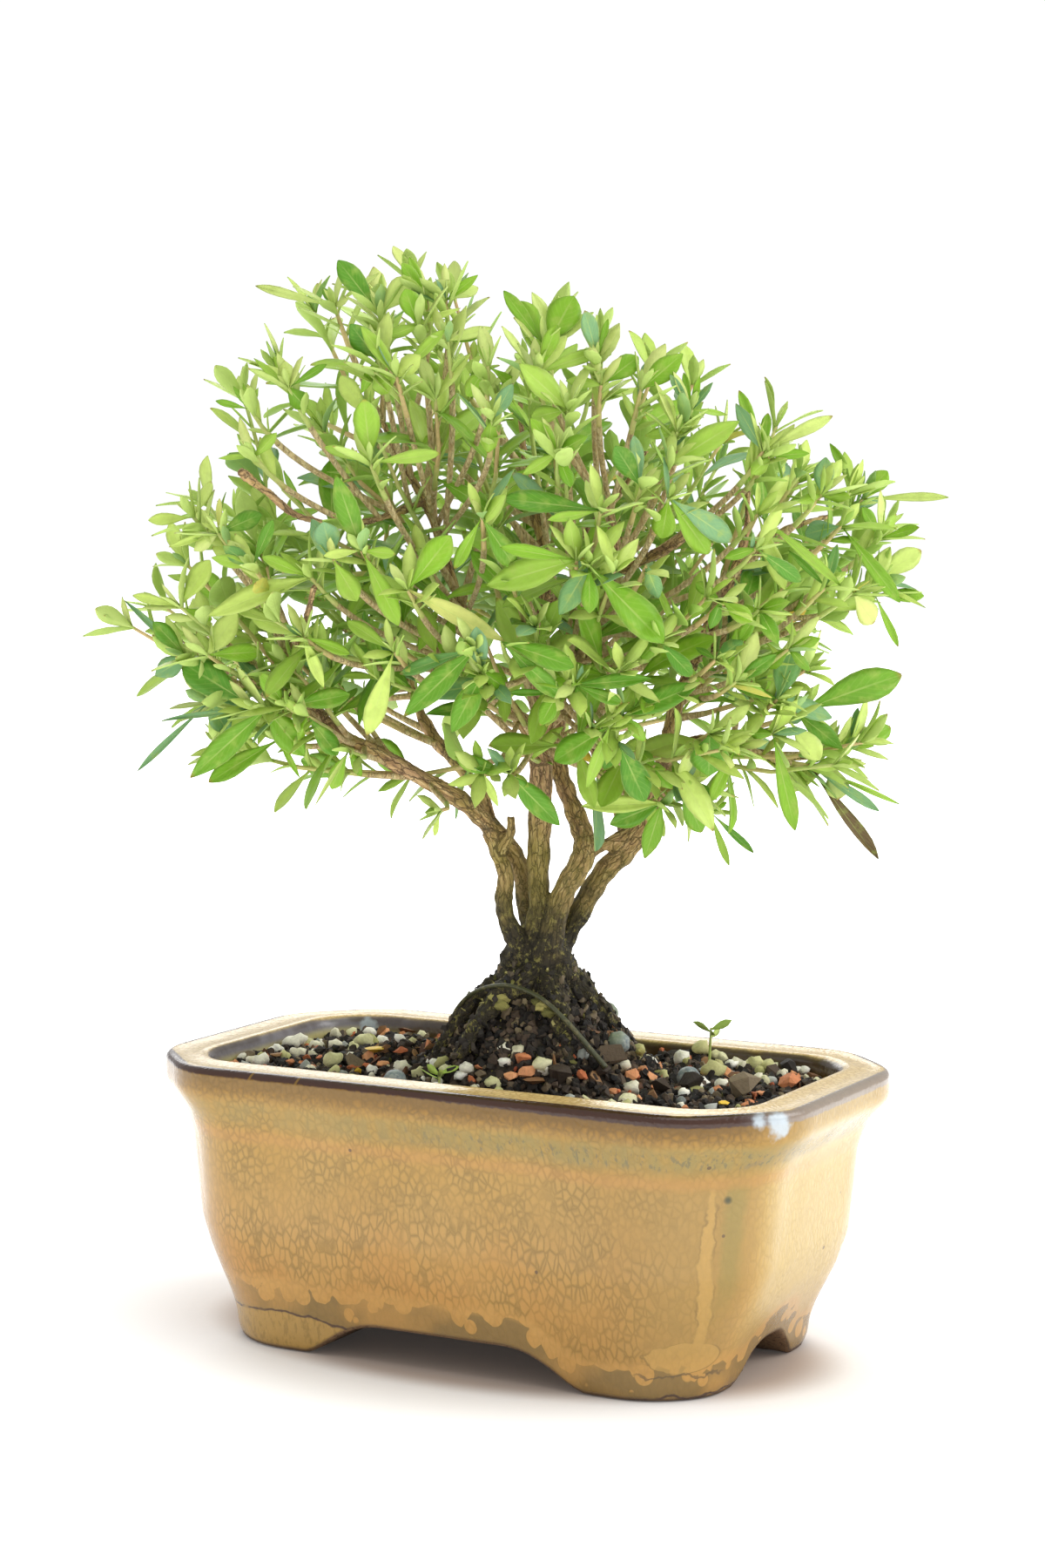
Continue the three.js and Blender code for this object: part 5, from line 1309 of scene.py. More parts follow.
def shown_stones(name, material):
    """Stones placed on the soil, where the photograph shows them."""
    kind, *spots = SHOWN_STONES[name]
    parts = []
    for number, (pixel_x, pixel_y, size) in enumerate(spots):
        draw = random_from(700 + number)
        lift = 4.5 if name == "moss_flecks" else 0.34 * size
        place = on_soil((pixel_x, pixel_y), lift, 0.5 * size)
        if not inside_walls(place, 0.3 * size):
            continue
        mesh = lump_mesh(f"{name}_shown_{number}", 60 + number, *SHAPES[kind][:2])
        lean = Matrix.Rotation(draw() * 6.28, 3, "Z") @ Matrix.Rotation(mix(-0.5, 0.9, draw()), 3, "X")
        points = points_of(mesh) * size
        points = np.array([tuple(lean @ Vector(point)) for point in points]) + place
        mesh.vertices.foreach_set("co", in_tree_axes(points).ravel())
        give(mesh, "tone", np.full(len(points), mix(0.35, 1.0, draw())))
        mesh.materials.append(material)
        parts.append(object_from(mesh.name, mesh))
    return parts


def scatter_litter(bed, settings, rows):
    tree = litter_tree()
    for number, (name, kind, where, count, sizes, lift, lying, rough, stops) in enumerate(rows):
        shapes = bpy.data.collections.new(name + "_shapes")
        for shape in range(6):
            mesh = lump_mesh(f"{name}_{shape}", number * 7 + shape, *SHAPES[kind][:2])
            shapes.objects.link(bpy.data.objects.new(f"{name}_{shape}", mesh))
        material = litter_material(name.replace("_", " "), stops, rough)
        piece = object_from(name, worked(object_from("spread", bed.data.copy()), tree, name, Shapes=shapes,
            Where=where, Per_square_metre=count * settings.amount, Smallest=sizes[0] * MM,
            Largest=sizes[1] * MM, Lift=lift * MM, Lying=lying, Seed=settings.seed + number,
            Material=material))
        remove_shapes(shapes)
        if name in SHOWN_STONES:
            join([piece] + shown_stones(name, material))
        finish_piece(piece, "soil_mix")
        piece.data.polygons.foreach_set("use_smooth", [not SHAPES[kind][2]] * len(piece.data.polygons))


# Wood

def limb_path(points, per_point=5):
    count = (len(points) - 1) * per_point
    shares = np.linspace(0, 1, count + 1)
    return (np.array([curve_at(points, share) for share in shares]),
        np.array([radius_at(points, share) for share in shares]))


def bark_places(points):
    """For each point: how it lies about the nearest limb, and how far along, for the fibres."""
    centres, aheads, alongs, starts = [], [], [], []
    for number, limb in enumerate(list(LIMBS.values()) + ROOTS):
        path, _ = limb_path(limb, 4)
        length = np.concatenate([[0], np.cumsum(np.linalg.norm(np.diff(path, axis=0), axis=1))])
        ahead = np.gradient(path, axis=0)
        centres.append(path)
        aheads.append(ahead / np.linalg.norm(ahead, axis=1)[:, None])
        alongs.append(length)
        starts.append(np.full(len(path), number * 13.0))
    centres, aheads = np.concatenate(centres), np.concatenate(aheads)
    alongs, starts = np.concatenate(alongs), np.concatenate(starts)
    found = np.empty((len(points), 3))
    for start in range(0, len(points), 4000):
        part = points[start:start + 4000]
        nearest = ((part[:, None, :] - centres[None]) ** 2).sum(2).argmin(1)
        offset = part - centres[nearest]
        forward = (offset * aheads[nearest]).sum(1)
        side = offset - forward[:, None] * aheads[nearest]
        found[start:start + 4000, 0] = side[:, 0] + starts[nearest]
        found[start:start + 4000, 1] = side[:, 1] + side[:, 2] * 0.7
        found[start:start + 4000, 2] = alongs[nearest] + forward
    return found


def bark_material(settings):
    material, tree, place = new_material("Serissa bark")
    fibre = tree.stored("fibre", "Vector")
    height = tree.parts(place)[2]
    strands = tree.noise(tree.scaled(fibre, 1.6, 1.6, 0.16), 1.0, 5.0, 0.62)
    hairs = tree.noise(tree.scaled(fibre, 5, 5, 0.5), 1.0, 3.0, 0.6)
    crack = tree.net(tree.scaled(tree.warped(fibre, 0.8, 1.2), 0.9, 0.9, 0.22), 1.0, 0.09)
    colour = tree.ramp(strands, [(0.32, srgb(92, 68, 36)), (0.42, srgb(168, 134, 80)),
        (0.54, settings.bark[:]), (0.68, srgb(240, 214, 156))])
    hue = tree.noise(place, 0.07, 3.0)
    colour = colour.coated(tree.ease(hue, 0.42, 0.6, 0.0, 0.5), 196, 154, 124)
    colour = colour.coated(tree.ease(hue, 0.5, 0.34, 0.0, 0.5), 150, 138, 70)
    colour = colour.coated(tree.ease(hairs, 0.45, 0.68, 0.0, 0.6), 108, 78, 48)
    colour = colour.coated(crack * 0.7, 66, 50, 32)
    stain = tree.ease(tree.noise(tree.scaled(place, 1, 1, 0.4), 0.3, 4.0, 0.6), 0.55, 0.68)
    colour = colour.coated(stain * tree.ease(height, 150, 100, 0.15, 0.75), 66, 56, 38)
    twig = tree.stored("twig")
    light = tree.blend(tree.ease(strands, 0.35, 0.65), srgb(196, 166, 116), srgb(228, 210, 158))
    colour = tree.blend(twig * 0.9, colour, light)
    # Moss and damp climb the stems from the crown of the roots
    patch = tree.noise(place, 0.22, 4.0, 0.6)
    climb = height + (patch - 0.5) * 46.0
    mossy = tree.ease(climb, 124, 92)
    colour = colour.coated(mossy * 0.6, 134, 126, 48)
    damp = tree.ease(height + (patch - 0.5) * 26.0, 104, 86)
    dark = tree.blend(tree.ease(tree.noise(place, 0.7, 5.0, 0.7), 0.52, 0.66), srgb(38, 34, 29),
        srgb(132, 124, 68))
    colour = tree.blend(damp * 0.93, colour, dark)
    relief = strands * 0.9 + hairs * 0.35
    relief = relief - crack * 0.5
    colour, _ = mottled(tree, colour, place, 0.35, 0.22)
    wire_up(tree, colour, tree.ease(strands, 0.3, 0.7, 0.72, 0.9), relief, 0.9, 0.0007)
    return material


def make_wood(shoots, extra_shoots, settings):
    forms = []
    for number, points in enumerate(list(LIMBS.values()) + ROOTS):
        path, radii = limb_path(points)
        if number < len(LIMBS):
            swell = 1 + 0.07 * np.sin(np.arange(len(path)) * 1.9 + number)
            radii = radii * swell * (1 - 0.2 * smooth(125, 150, path[:, 2]))
        forms.append(tube_rings(path, radii, 12))
    rings = []
    angles = np.arange(40) * 2 * math.pi / 40
    for share in np.linspace(0, 1, 22):
        place = share * (len(CROWN) - 1)
        low = min(int(place), len(CROWN) - 2)
        height, half_x, half_y = (mix(CROWN[low][part], CROWN[low + 1][part], place - low)
            for part in range(3))
        bulge = 1 + 0.1 * np.sin(3 * angles + place * 1.7)
        rings.append(at_height(np.column_stack([CROWN_X + half_x * bulge * np.cos(angles),
            half_y * bulge * np.sin(angles)]), height))
    forms.append(closed_rings(rings))
    points, faces = gathered(forms)
    rough = object_from("wood_form", mesh_from("wood_form", points * MM, faces))
    remesh = rough.modifiers.new("grow together", "REMESH")
    remesh.mode, remesh.voxel_size = "VOXEL", WOOD_GRAIN * MM
    ease = rough.modifiers.new("ease", "SMOOTH")
    ease.factor, ease.iterations = 0.5, 4
    mesh = baked(rough, "wood")
    remove(rough)
    points = points_of(mesh) / MM
    normals = np.empty(len(points) * 3)
    mesh.vertices.foreach_get("normal", normals)
    normals = normals.reshape(-1, 3)
    fibre = bark_places(points)
    low = smooth(94, 80, points[:, 2])
    push = (roughened(fibre * [1, 1, 0.16], 1.1, 0.28, 1.0, 3) * (1 - low * 0.4)
        + roughened(points, 0.32, 0.9, 4.0, 4) * low + roughened(points, 0.12, 0.35, 6.0, 2))
    points = points + normals * push[:, None]
    mesh.vertices.foreach_set("co", (in_tree_axes(points)).ravel())
    twigs = []
    for shoot in shoots + extra_shoots:
        shares = np.linspace(0, shoot["split"] + 0.01, 9)
        path = np.array([bezier_at(shoot["curve"], share) for share in shares])
        twigs.append(tube_rings(path, np.linspace(shoot["base"], SHOOT_RADIUS, 9), 8))
    twig_points, twig_faces = gathered(twigs)
    twig_mesh = mesh_from("twigs", in_tree_axes(twig_points), twig_faces)
    material = bark_material(settings)
    for part, here, fibres, twig in ((mesh, points, fibre, 0), (twig_mesh, twig_points, twig_points, 1)):
        give(part, "fibre", fibres, "FLOAT_VECTOR")
        give(part, "twig", np.full(len(here), float(twig)))
        give(part, "low_roots", smooth(86, 80, here[:, 2]) * smooth(58, 62, here[:, 2]) * (1 - twig))
        part.materials.clear()
        part.materials.append(material)
    piece = join([object_from("wood", mesh), object_from("twigs", twig_mesh)])
    piece.name = "stems_and_roots"
    return finish_piece(piece, "bark", "wood")


def gathered(forms):
    """Points and faces of several forms in one."""
    points, faces, count = [], [], 0
    for part, part_faces in forms:
        points.append(part)
        faces += [tuple(corner + count for corner in face) for face in part_faces]
        count += len(part)
    return np.concatenate(points), faces


# Shoots and leaves, grown by the part's own rule

def bezier_at(curve, share):
    first, second, third, last = curve
    rest = 1 - share
    return (rest ** 3 * first + 3 * rest ** 2 * share * second + 3 * rest * share ** 2 * third
        + share ** 3 * last)


def bezier_ahead(curve, share):
    step = 0.0001
    return unit(bezier_at(curve, min(share + step, 1)) - bezier_at(curve, max(share - step, 0)))


def limb_samples():
    places, radii = [], []
    for points in LIMBS.values():
        count = (len(points) - 1) * 4
        for number in range(count + 1):
            places.append(curve_at(points, number / count))
            radii.append(radius_at(points, number / count))
    return np.array(places), np.array(radii)


def grow_shoot(tip, places, radii, leafy_length=SHOOT_LENGTH, reach=TWIG_REACH, thick=TWIG_RADIUS):
    tip = np.array(tip, float)
    outward = unit(tip - HEART)
    target = tip - outward * reach
    high = np.flatnonzero(places[:, 2] > LOWEST_TWIG)
    start = high[np.linalg.norm(places[high] - target, axis=1).argmin()]
    base = places[start]
    length = np.linalg.norm(base - tip)
    ending = unit(outward + UP * TWIG_LIFT)
    to_tip = unit(tip - base)
    curve = (base, base + to_tip * length * TWIG_START - UP * length * TWIG_SAG,
        tip - ending * length * TWIG_LIFT, tip)
    leafy = min(leafy_length, length * LEAFY_SHARE)
    return {"curve": curve, "length": length, "split": 1 - leafy / length,
        "base": min(radii[start] * 0.9, thick)}


def stem_point(shoot, share):
    middle = (shoot["split"] + 1) / 2
    start, end = (shoot["split"], middle) if share < middle else (middle, 1)
    return mix(bezier_at(shoot["curve"], start), bezier_at(shoot["curve"], end),
        (share - start) / (end - start))


def standing_off(stem, turn, opening):
    """Direction of a leaf that is turned round its stem and opens from it."""
    across = unit(np.cross(stem, UP))
    radial = across * math.cos(turn) + np.cross(stem, across) * math.sin(turn)
    return unit(stem * math.cos(opening) + radial * math.sin(opening))


def leaf_at(shoot, pair, half, draws):
    young = pair / (shoot["pair_count"] - 1)
    share = mix(shoot["split"], 1, mix(PAIR_PLACES[0], PAIR_PLACES[1], young))
    stem = bezier_ahead(shoot["curve"], share)
    turn = pair * math.pi / 2 + half * math.pi + shoot["twist"] + (draws[0] - 0.5) * LEAF_TURN_SPREAD
    opening = mix(LEAF_OPEN[0], LEAF_OPEN[1], young * young) + (draws[1] - 0.5) * LEAF_OPEN_SPREAD
    size = mix(LEAF_LENGTH[0], LEAF_LENGTH[1], draws[2]) * mix(1, YOUNG_SIZE, young ** 3)
    return {"root": stem_point(shoot, share), "stem": stem, "young": young,
        "along": standing_off(stem, turn, opening), "length": size,
        "width": size * mix(LEAF_SLENDERNESS[0], LEAF_SLENDERNESS[1], draws[3]),
        "droop": mix(LEAF_DROOP[0], LEAF_DROOP[1], draws[4])}


def upper_side(leaf):
    up = leaf["stem"] * 0.8 + UP * 0.7
    return unit(up - leaf["along"] * up.dot(leaf["along"]))


def blade_spots(leaf, shares=(0.22, 0.38, 0.54, 0.7, 0.85, 1)):
    upper = upper_side(leaf)
    across = np.cross(leaf["along"], upper)
    spots = []
    for share in shares:
        half = leaf["width"] * 0.46 * min(1, (1 - share) * 3 + 0.1)
        for side in (-1, 0, 1):
            lift = abs(side) * half * BLADE_FOLD - leaf["length"] * leaf["droop"] * share * share
            spots.append(leaf["root"] + leaf["along"] * leaf["length"] * share + upper * lift
                + across * side * half)
    return np.array(spots)


def clear_of(spots, places, reach):
    gaps = ((spots[:, None, :] - places[None]) ** 2).sum(2)
    return bool((gaps >= reach[None] ** 2).all())


def tried(shoot, draw):
    """For each leaf of the shoot its draws, and the ways in which it may stand, the likeliest first."""
    for pair in range(shoot["pair_count"]):
        for half in range(2):
            draws = [draw() for _ in range(5)]
            yield draws, ((leaf_at(shoot, pair, half, [draws[0] + turn / LEAF_TURN_SPREAD, *draws[1:]]),
                size) for turn, size in TRIES)


def grow_leaves(shoots, places, radii):
    wood_places, wood_reach = [places], [radii + 0.1 + SPOT_RADIUS]
    for shoot in shoots:
        twig = np.array([bezier_at(shoot["curve"], shoot["split"] * step / 10) for step in range(11)])
        wood_places.append(twig)
        wood_reach.append(np.full(11, TWIG_RADIUS + SPOT_RADIUS))
    stems = [np.array([bezier_at(shoot["curve"], mix(shoot["split"], 1, step / 12)) for step in range(13)])
        for shoot in shoots]
    placed = [[] for _ in shoots]
    for number, shoot in enumerate(shoots):
        draw = random_from(101 + number * 17)
        shoot["twist"] = draw() * math.pi
        shoot["pair_count"] = PAIRS_PER_SHOOT[number % len(PAIRS_PER_SHOOT)]
        others = wood_places + [stem for other, stem in enumerate(stems) if other != number]
        reaches = wood_reach + [np.full(13, SHOOT_RADIUS + 0.2 + SPOT_RADIUS)] * (len(stems) - 1)
        for other, spots in enumerate(placed):
            if other != number and spots:
                others = others + spots
                reaches = reaches + [np.full(len(group), 2 * SPOT_RADIUS) for group in spots]
        others, reaches = np.concatenate(others), np.concatenate(reaches)
        shoot["leaves"] = []
        for _, tries in tried(shoot, draw):
            for leaf, size in tries:
                leaf["length"] *= size
                leaf["width"] *= size
                spots = blade_spots(leaf)
                if clear_of(spots, others, reaches):
                    shoot["leaves"].append(leaf)
                    placed[number].append(spots)
                    break
    return np.concatenate([group for spots in placed for group in spots])


def crown_reach(direction, tips):
    """How far the crown reaches from its heart in a direction, from the nearest shoots' ends."""
    away = tips - HEART
    lengths = np.linalg.norm(away, axis=1)
    near = np.maximum((away @ direction) / lengths, 0) ** 14 + 1e-9
    return (near * lengths).sum() / near.sum()


def crown_floor(place):
    """Lowest height of the further leaves: the crown is hollow below, so its limbs show."""
    return FLOOR_LOW + FLOOR_RISE * math.exp(-((place[0] ** 2 + place[1] ** 2) / FLOOR_REACH ** 2))


def more_shoots(places, radii, count):
    """Shoots between those of the part: a few at given ends, and the rest all through the crown."""
    draw = random_from(4001)
    tips = [np.array(tip, float) for tip in MORE_TIPS]
    hull = np.array(TIPS, float)
    while len(tips) < count:
        height = mix(-0.32, 0.98, draw())
        angle = draw() * 2 * math.pi
        flat = math.sqrt(1 - height * height)
        direction = np.array([flat * math.cos(angle), flat * math.sin(angle), height])
        tip = HEART + direction * crown_reach(direction, hull) * mix(0.5, 0.95, draw() ** 0.6)
        if tip[0] > 22 and tip[1] < 10 and draw() < 0.35:
            continue
        if tip[2] > crown_floor(tip) + 6 and all(np.linalg.norm(tip - other) > SHOOT_GAP for other in tips):
            tips.append(tip)
    return [grow_shoot(tip, places, radii, thick=INNER_TWIG_RADIUS,
        reach=mix(20, 56, draw()) * (0.5 if tip[2] < LOW_CROWN else 1)) for tip in tips]


def grow_more_leaves(shoots, taken):
    """Leaves of the further shoots, kept off those that are already there."""
    taken = [taken]
    for number, shoot in enumerate(shoots):
        draw = random_from(9001 + number * 13)
        shoot["twist"] = draw() * math.pi
        shoot["pair_count"] = 4 if number % 2 else 5
        shoot["leaves"] = []
        here = np.concatenate(taken)
        near = here[np.linalg.norm(here - shoot["curve"][3], axis=1) < 60]
        for draws, tries in tried(shoot, draw):
            for leaf, size in tries:
                leaf["along"] = unit(leaf["along"] + np.array([draws[1], draws[4], draws[2]]) - 0.5)
                leaf["length"] *= size
                leaf["width"] *= size * 0.97
                leaf["droop"] = mix(0, 0.36, draws[3])
                spots = blade_spots(leaf, (0.3, 0.6, 0.95))
                if spots[:, 2].min() < crown_floor(leaf["root"]) or any(map(in_bare_run, spots)):
                    continue
                if not len(near) or clear_of(spots, near, np.full(len(near), LEAF_GAP)):
                    shoot["leaves"].append(leaf)
                    taken.append(spots)
                    break


def behind(pixel, depth):
    """Place in the tree's axes that shows at a pixel of the photograph, at a depth."""
    across, up = (pixel[0] - VIEW_MIDDLE) / VIEW_FOCUS, (VIEW_RISE - pixel[1]) / VIEW_FOCUS
    cos, sin = math.cos(VIEW_DIP), math.sin(VIEW_DIP)
    reach = (depth - VIEW_FROM[1]) / (cos + sin * up)
    return np.array([VIEW_FROM[0] + reach * across, depth, VIEW_FROM[2] + reach * (cos * up - sin)])


def seen_at(place):
    """Pixel of the photograph at which a place shows."""
    across, depth, up = np.asarray(place) - np.array(VIEW_FROM)
    cos, sin = math.cos(VIEW_DIP), math.sin(VIEW_DIP)
    reach = cos * depth - sin * up
    return np.array([VIEW_MIDDLE + VIEW_FOCUS * across / reach,
        VIEW_RISE - VIEW_FOCUS * (sin * depth + cos * up) / reach])


def in_bare_run(place, room=13):
    """Whether a leaf here would hide a limb that shows in the photograph."""
    pixel = seen_at(place)
    for run in BARE_RUNS:
        for start, end in zip(np.array(run[:-1], float), np.array(run[1:], float)):
            share = np.clip((pixel - start) @ (end - start) / ((end - start) @ (end - start)), 0, 1)
            if np.linalg.norm(pixel - mix(start, end, share)) < room:
                return place[1] < 12
    return False


def on_crown(pixel):
    """Place at a pixel, on the side of the crown that faces the camera."""
    depth = 0.0
    for _ in range(4):
        place = behind(pixel, depth)
        spread = sum(((place[axis] - CROWN_MIDDLE[axis]) / CROWN_REACH[axis]) ** 2 for axis in (0, 2))
        depth = -CROWN_REACH[1] * math.sqrt(max(0.02, 1 - spread))
    return behind(pixel, depth)


def within_reach(pixels, depth):
    """The depth, or the first one behind it at which places at these pixels keep within their reach."""
    while any(place[0] > REACH_RIGHT or place[1] < REACH_FRONT
            for place in (turned(behind(pixel[:2], depth)) for pixel in pixels)):
        depth += 1.0
    return depth


def shown_sprays(places, radii):
    """Shoots and leaves that stand where the photograph shows them."""
    shoots = []
    for number, (start, *tips) in enumerate(SHOWN_SPRAYS):
        root = on_crown(start)
        root = behind(start, within_reach([start, *tips], root[1] - 4) + 4)
        reach = mix(24, 50, (number * 0.37) % 1) * (0.5 if root[2] < LOW_CROWN else 1)
        shoot = grow_shoot(root, places, radii, SHOWN_LENGTH, reach, SHOWN_TWIG_RADIUS)
        shoot["leaves"] = []
        draw = random_from(310 + number)
        to_camera = unit(np.array(VIEW_FROM) - root)
        for tip_x, tip_y, width, tone in tips:
            tip = behind((tip_x, tip_y), root[1] + mix(-4, 5, draw()))
            scale = VIEW_FOCUS / np.linalg.norm(np.array(VIEW_FROM) - root)
            length = np.linalg.norm(tip - root)
            facing = to_camera + UP * mix(0.1, 0.45, draw()) + np.array([mix(-.3, .3, draw()), 0, 0])
            shoot["leaves"].append({"root": root, "stem": to_camera, "facing": facing, "young": 0.4,
                "along": unit(tip - root), "length": length, "width": width / scale * 1.05,
                "droop": mix(-0.03, 0.12, draw()), "small": length < 7,
                "tone": tone * (0.78 if tone < 0.6 else 1)})
        shoots.append(shoot)
    return shoots


def small_leaves(shoot, seed):
    """Young leaves in the joints of the shoot, and the tuft at its end."""
    draw = random_from(seed)
    leaves = []

    def add(share, sunk, turn, opening, size, slenderness, droop, young):
        stem = bezier_ahead(shoot["curve"], share)
        leaves.append({"root": stem_point(shoot, share) - stem * sunk, "stem": stem, "young": young,
            "small": True, "along": standing_off(stem, turn, opening), "length": size,
            "width": size * slenderness, "droop": droop})

    for place in (0.3, 0.55, 0.8):
        first = draw() * math.pi * 2
        for number in range(1 + int(draw() * 2.2)):
            add(mix(shoot["split"], 1, place), 0, first + number * (math.pi + 0.6), mix(0.45, 0.95, draw()),
                mix(4.5, 11.5, draw()), mix(0.22, 0.34, draw()), mix(-0.05, 0.15, draw()), 0.75)
    count = 3 + int(draw() * 3)
    for number in range(count):
        share = number / count
        add(1, 0.3, number * 2.4 + draw(), mix(0.2, 1.0, share),
            mix(4.5, 12.0, share) * mix(0.8, 1.2, draw()), mix(0.2, 0.32, draw()), mix(-0.08, 0.1, draw()),
            1.0)
    return leaves


# Share of the blade's length, and half of its width there
BLADE_OUTLINES = (
    [(0, .035), (.13, .06), (.28, .2), (.43, .37), (.57, .47), (.7, .5), (.82, .43), (.91, .28),
     (.97, .13), (1, .03)],
    [(0, .04), (.1, .1), (.22, .26), (.35, .41), (.48, .49), (.62, .49), (.76, .39), (.88, .23),
     (.96, .1), (1, .02)],
)
SMALL_OUTLINE = [(0, .06), (.25, .3), (.5, .5), (.75, .44), (.92, .18), (1, .03)]
BLADE_DROOPS = (-0.03, 0.04, 0.11, 0.18, 0.27, 0.37)


def blade_mesh(name, outline, droop, columns, thick=0.022, wave=0.0):
    """A leaf blade, one long and one wide, root at the origin, tip along y, closed round its edge."""
    sides = np.linspace(-1, 1, columns + 1)
    tops, unders, faces, spread = [], [], [], []
    for share, half in outline:
        for side in sides:
            fold = abs(side) * half * BLADE_FOLD * 0.32 + 0.012 * abs(side) ** 2
            ripple = wave * math.sin(share * 5) * abs(side) * half
            height = fold - droop * share ** 2 + ripple
            body = thick * (1 - 0.75 * abs(side) ** 2) * (1.4 - share)
            tops.append((side * half, share, height))
            unders.append((side * half * 0.98, share, height - body))
            spread.append((0.5 + side / 2, share))
    rows, width, under = len(outline), columns + 1, len(tops)
    for row in range(rows - 1):
        for column in range(columns):
            a = row * width + column
            face = (a, a + 1, a + 1 + width, a + width)
            faces += [face, tuple(under + corner for corner in reversed(face))]
        for column, way in ((0, 1), (columns, -1)):
            a = row * width + column
            faces.append((a, a + width, under + a + width, under + a)[::way])
    for row, way in ((0, 1), (rows - 1, -1)):
        for a in range(row * width, row * width + columns):
            faces.append((a, a + 1, under + a + 1, under + a)[::way])
    mesh = mesh_from(name, np.array(tops + unders), faces)
    places = np.array(spread + spread)
    layer = mesh.uv_layers.new(name="UVMap")
    corners = np.empty(len(mesh.loops), int)
    mesh.loops.foreach_get("vertex_index", corners)
    layer.data.foreach_set("uv", places[corners].ravel())
    give(mesh, "under", [float(max(face) >= under) for face in faces], domain="FACE")
    turned_out = bmesh.new()
    turned_out.from_mesh(mesh)
    bmesh.ops.recalc_face_normals(turned_out, faces=turned_out.faces)
    turned_out.to_mesh(mesh)
    turned_out.free()
    return mesh


def blade_shapes():
    shapes = bpy.data.collections.new("blades")
    for form, outline in enumerate(BLADE_OUTLINES):
        for number, droop in enumerate(BLADE_DROOPS):
            mesh = blade_mesh(f"blade_{form}{number}", outline, droop, 4, wave=0.05 * (number % 3 - 1))
            shapes.objects.link(bpy.data.objects.new(mesh.name, mesh))
    for number, droop in enumerate((-0.02, 0.12)):
        mesh = blade_mesh(f"small_{number}", SMALL_OUTLINE, droop, 2, thick=0.03)
        shapes.objects.link(bpy.data.objects.new(mesh.name, mesh))
    return shapes


def leaf_tree():
    """Puts a blade on each point, turned, sized and toned as the point says."""
    tree, given, out = new_group("Put leaves on", "GeometryNodeTree",
        {"Geometry": "Geometry", "Blades": "Collection", "Size": "Float", "Material": "Material"},
        {"Geometry": "Geometry"})
    turn, size, kind = (tree.out(0, "GeometryNodeInputNamedAttribute", {"Name": name}, data_type=data)
        for name, data in (("turn", "FLOAT_VECTOR"), ("size", "FLOAT_VECTOR"), ("kind", "INT")))
    copies = tree.out(0, "GeometryNodeInstanceOnPoints", {
        "Points": given["Geometry"], "Instance": shapes_from(tree, given["Blades"]), "Pick Instance": True,
        "Instance Index": kind, "Rotation": tree.out(0, "FunctionNodeEulerToRotation", {0: turn}),
        "Scale": tree.vector("SCALE", size, given["Size"])})
    return made_real(tree, copies, given, out)


def leaf_material(settings):
    material, tree, place = new_material("Serissa leaf", IOR=1.4, Specular_IOR_Level=0.4)
    across, along, _ = tree.parts(tree.out(0, "ShaderNodeUVMap", uv_map="UVMap"))
    side = abs(across - 0.5)
    under = tree.stored("under")
    colour = tree.ramp(tree.stored("tone"), [(0.0, srgb(126, 168, 122)), (0.05, srgb(112, 158, 92)),
        (0.08, settings.leaf_dark[:]), (0.3, settings.leaf[:]), (0.62, settings.leaf_light[:]),
        (0.84, srgb(200, 216, 128)), (0.93, srgb(206, 204, 110)), (0.96, srgb(226, 186, 60)),
        (1.0, srgb(104, 84, 52))])
    vein = along + side * -0.55
    stripe = tree.math("SINE", vein * 62.0)
    midrib = tree.ease(side, 0.045, 0.015)
    colour = colour.coated(midrib * tree.ease(along, 1.0, 0.3, 0.1, 0.5), 192, 208, 120)
    colour = colour.coated(tree.ease(stripe, 0.55, 1.0, 0.0, 0.1), 176, 200, 100)
    blotch = tree.noise(place, 0.35, 3.0)
    colour = colour.coated(tree.ease(blotch, 0.5, 0.72, 0.0, 0.45), 164, 184, 84)
    colour = colour.coated(tree.ease(side, 0.44, 0.5, 0.0, 0.35), 188, 204, 116)
    colour = colour.coated(under * 0.5, 164, 194, 106)
    tip = tree.ease(along, 0.93, 1.0) * tree.ease(tree.noise(place, 0.06, 1.0), 0.5, 0.62)
    colour = colour.coated(tip * 0.7, 168, 132, 66)
    colour, _ = mottled(tree, colour, place, 0.5, 0.14)
    rough = tree.ease(under, 0, 1, settings.leaf_gloss, 0.62)
    relief = stripe * 0.12 + midrib * -0.6
    wire_up(tree, colour, rough, relief, 0.35, 0.0001)
    return material


def stalk_material():
    material, tree, place = new_material("Green stem")
    ripe = tree.noise(place, 0.05, 2.0)
    colour = tree.blend(tree.ease(ripe, 0.42, 0.6), srgb(176, 192, 104), srgb(198, 172, 118))
    colour, grain = mottled(tree, colour, place, 1.2, 0.25)
    wire_up(tree, colour, tree.ease(ripe, 0, 1, 0.5, 0.7), grain, 0.3)
    return material


def lit_side(leaf, rng):
    """The blade's upper side, turned towards the light from outside the crown."""
    outward = unit(leaf["root"] - HEART + UP * 6)
    side = leaf["stem"] * 0.35 + UP * 0.45 + outward * 0.9 + rng.normal(0, 0.33, 3)
    if "facing" in leaf:
        side = leaf["facing"]
    side = side - leaf["along"] * side.dot(leaf["along"])
    return unit(side) if np.linalg.norm(side) > 0.15 else upper_side(leaf)


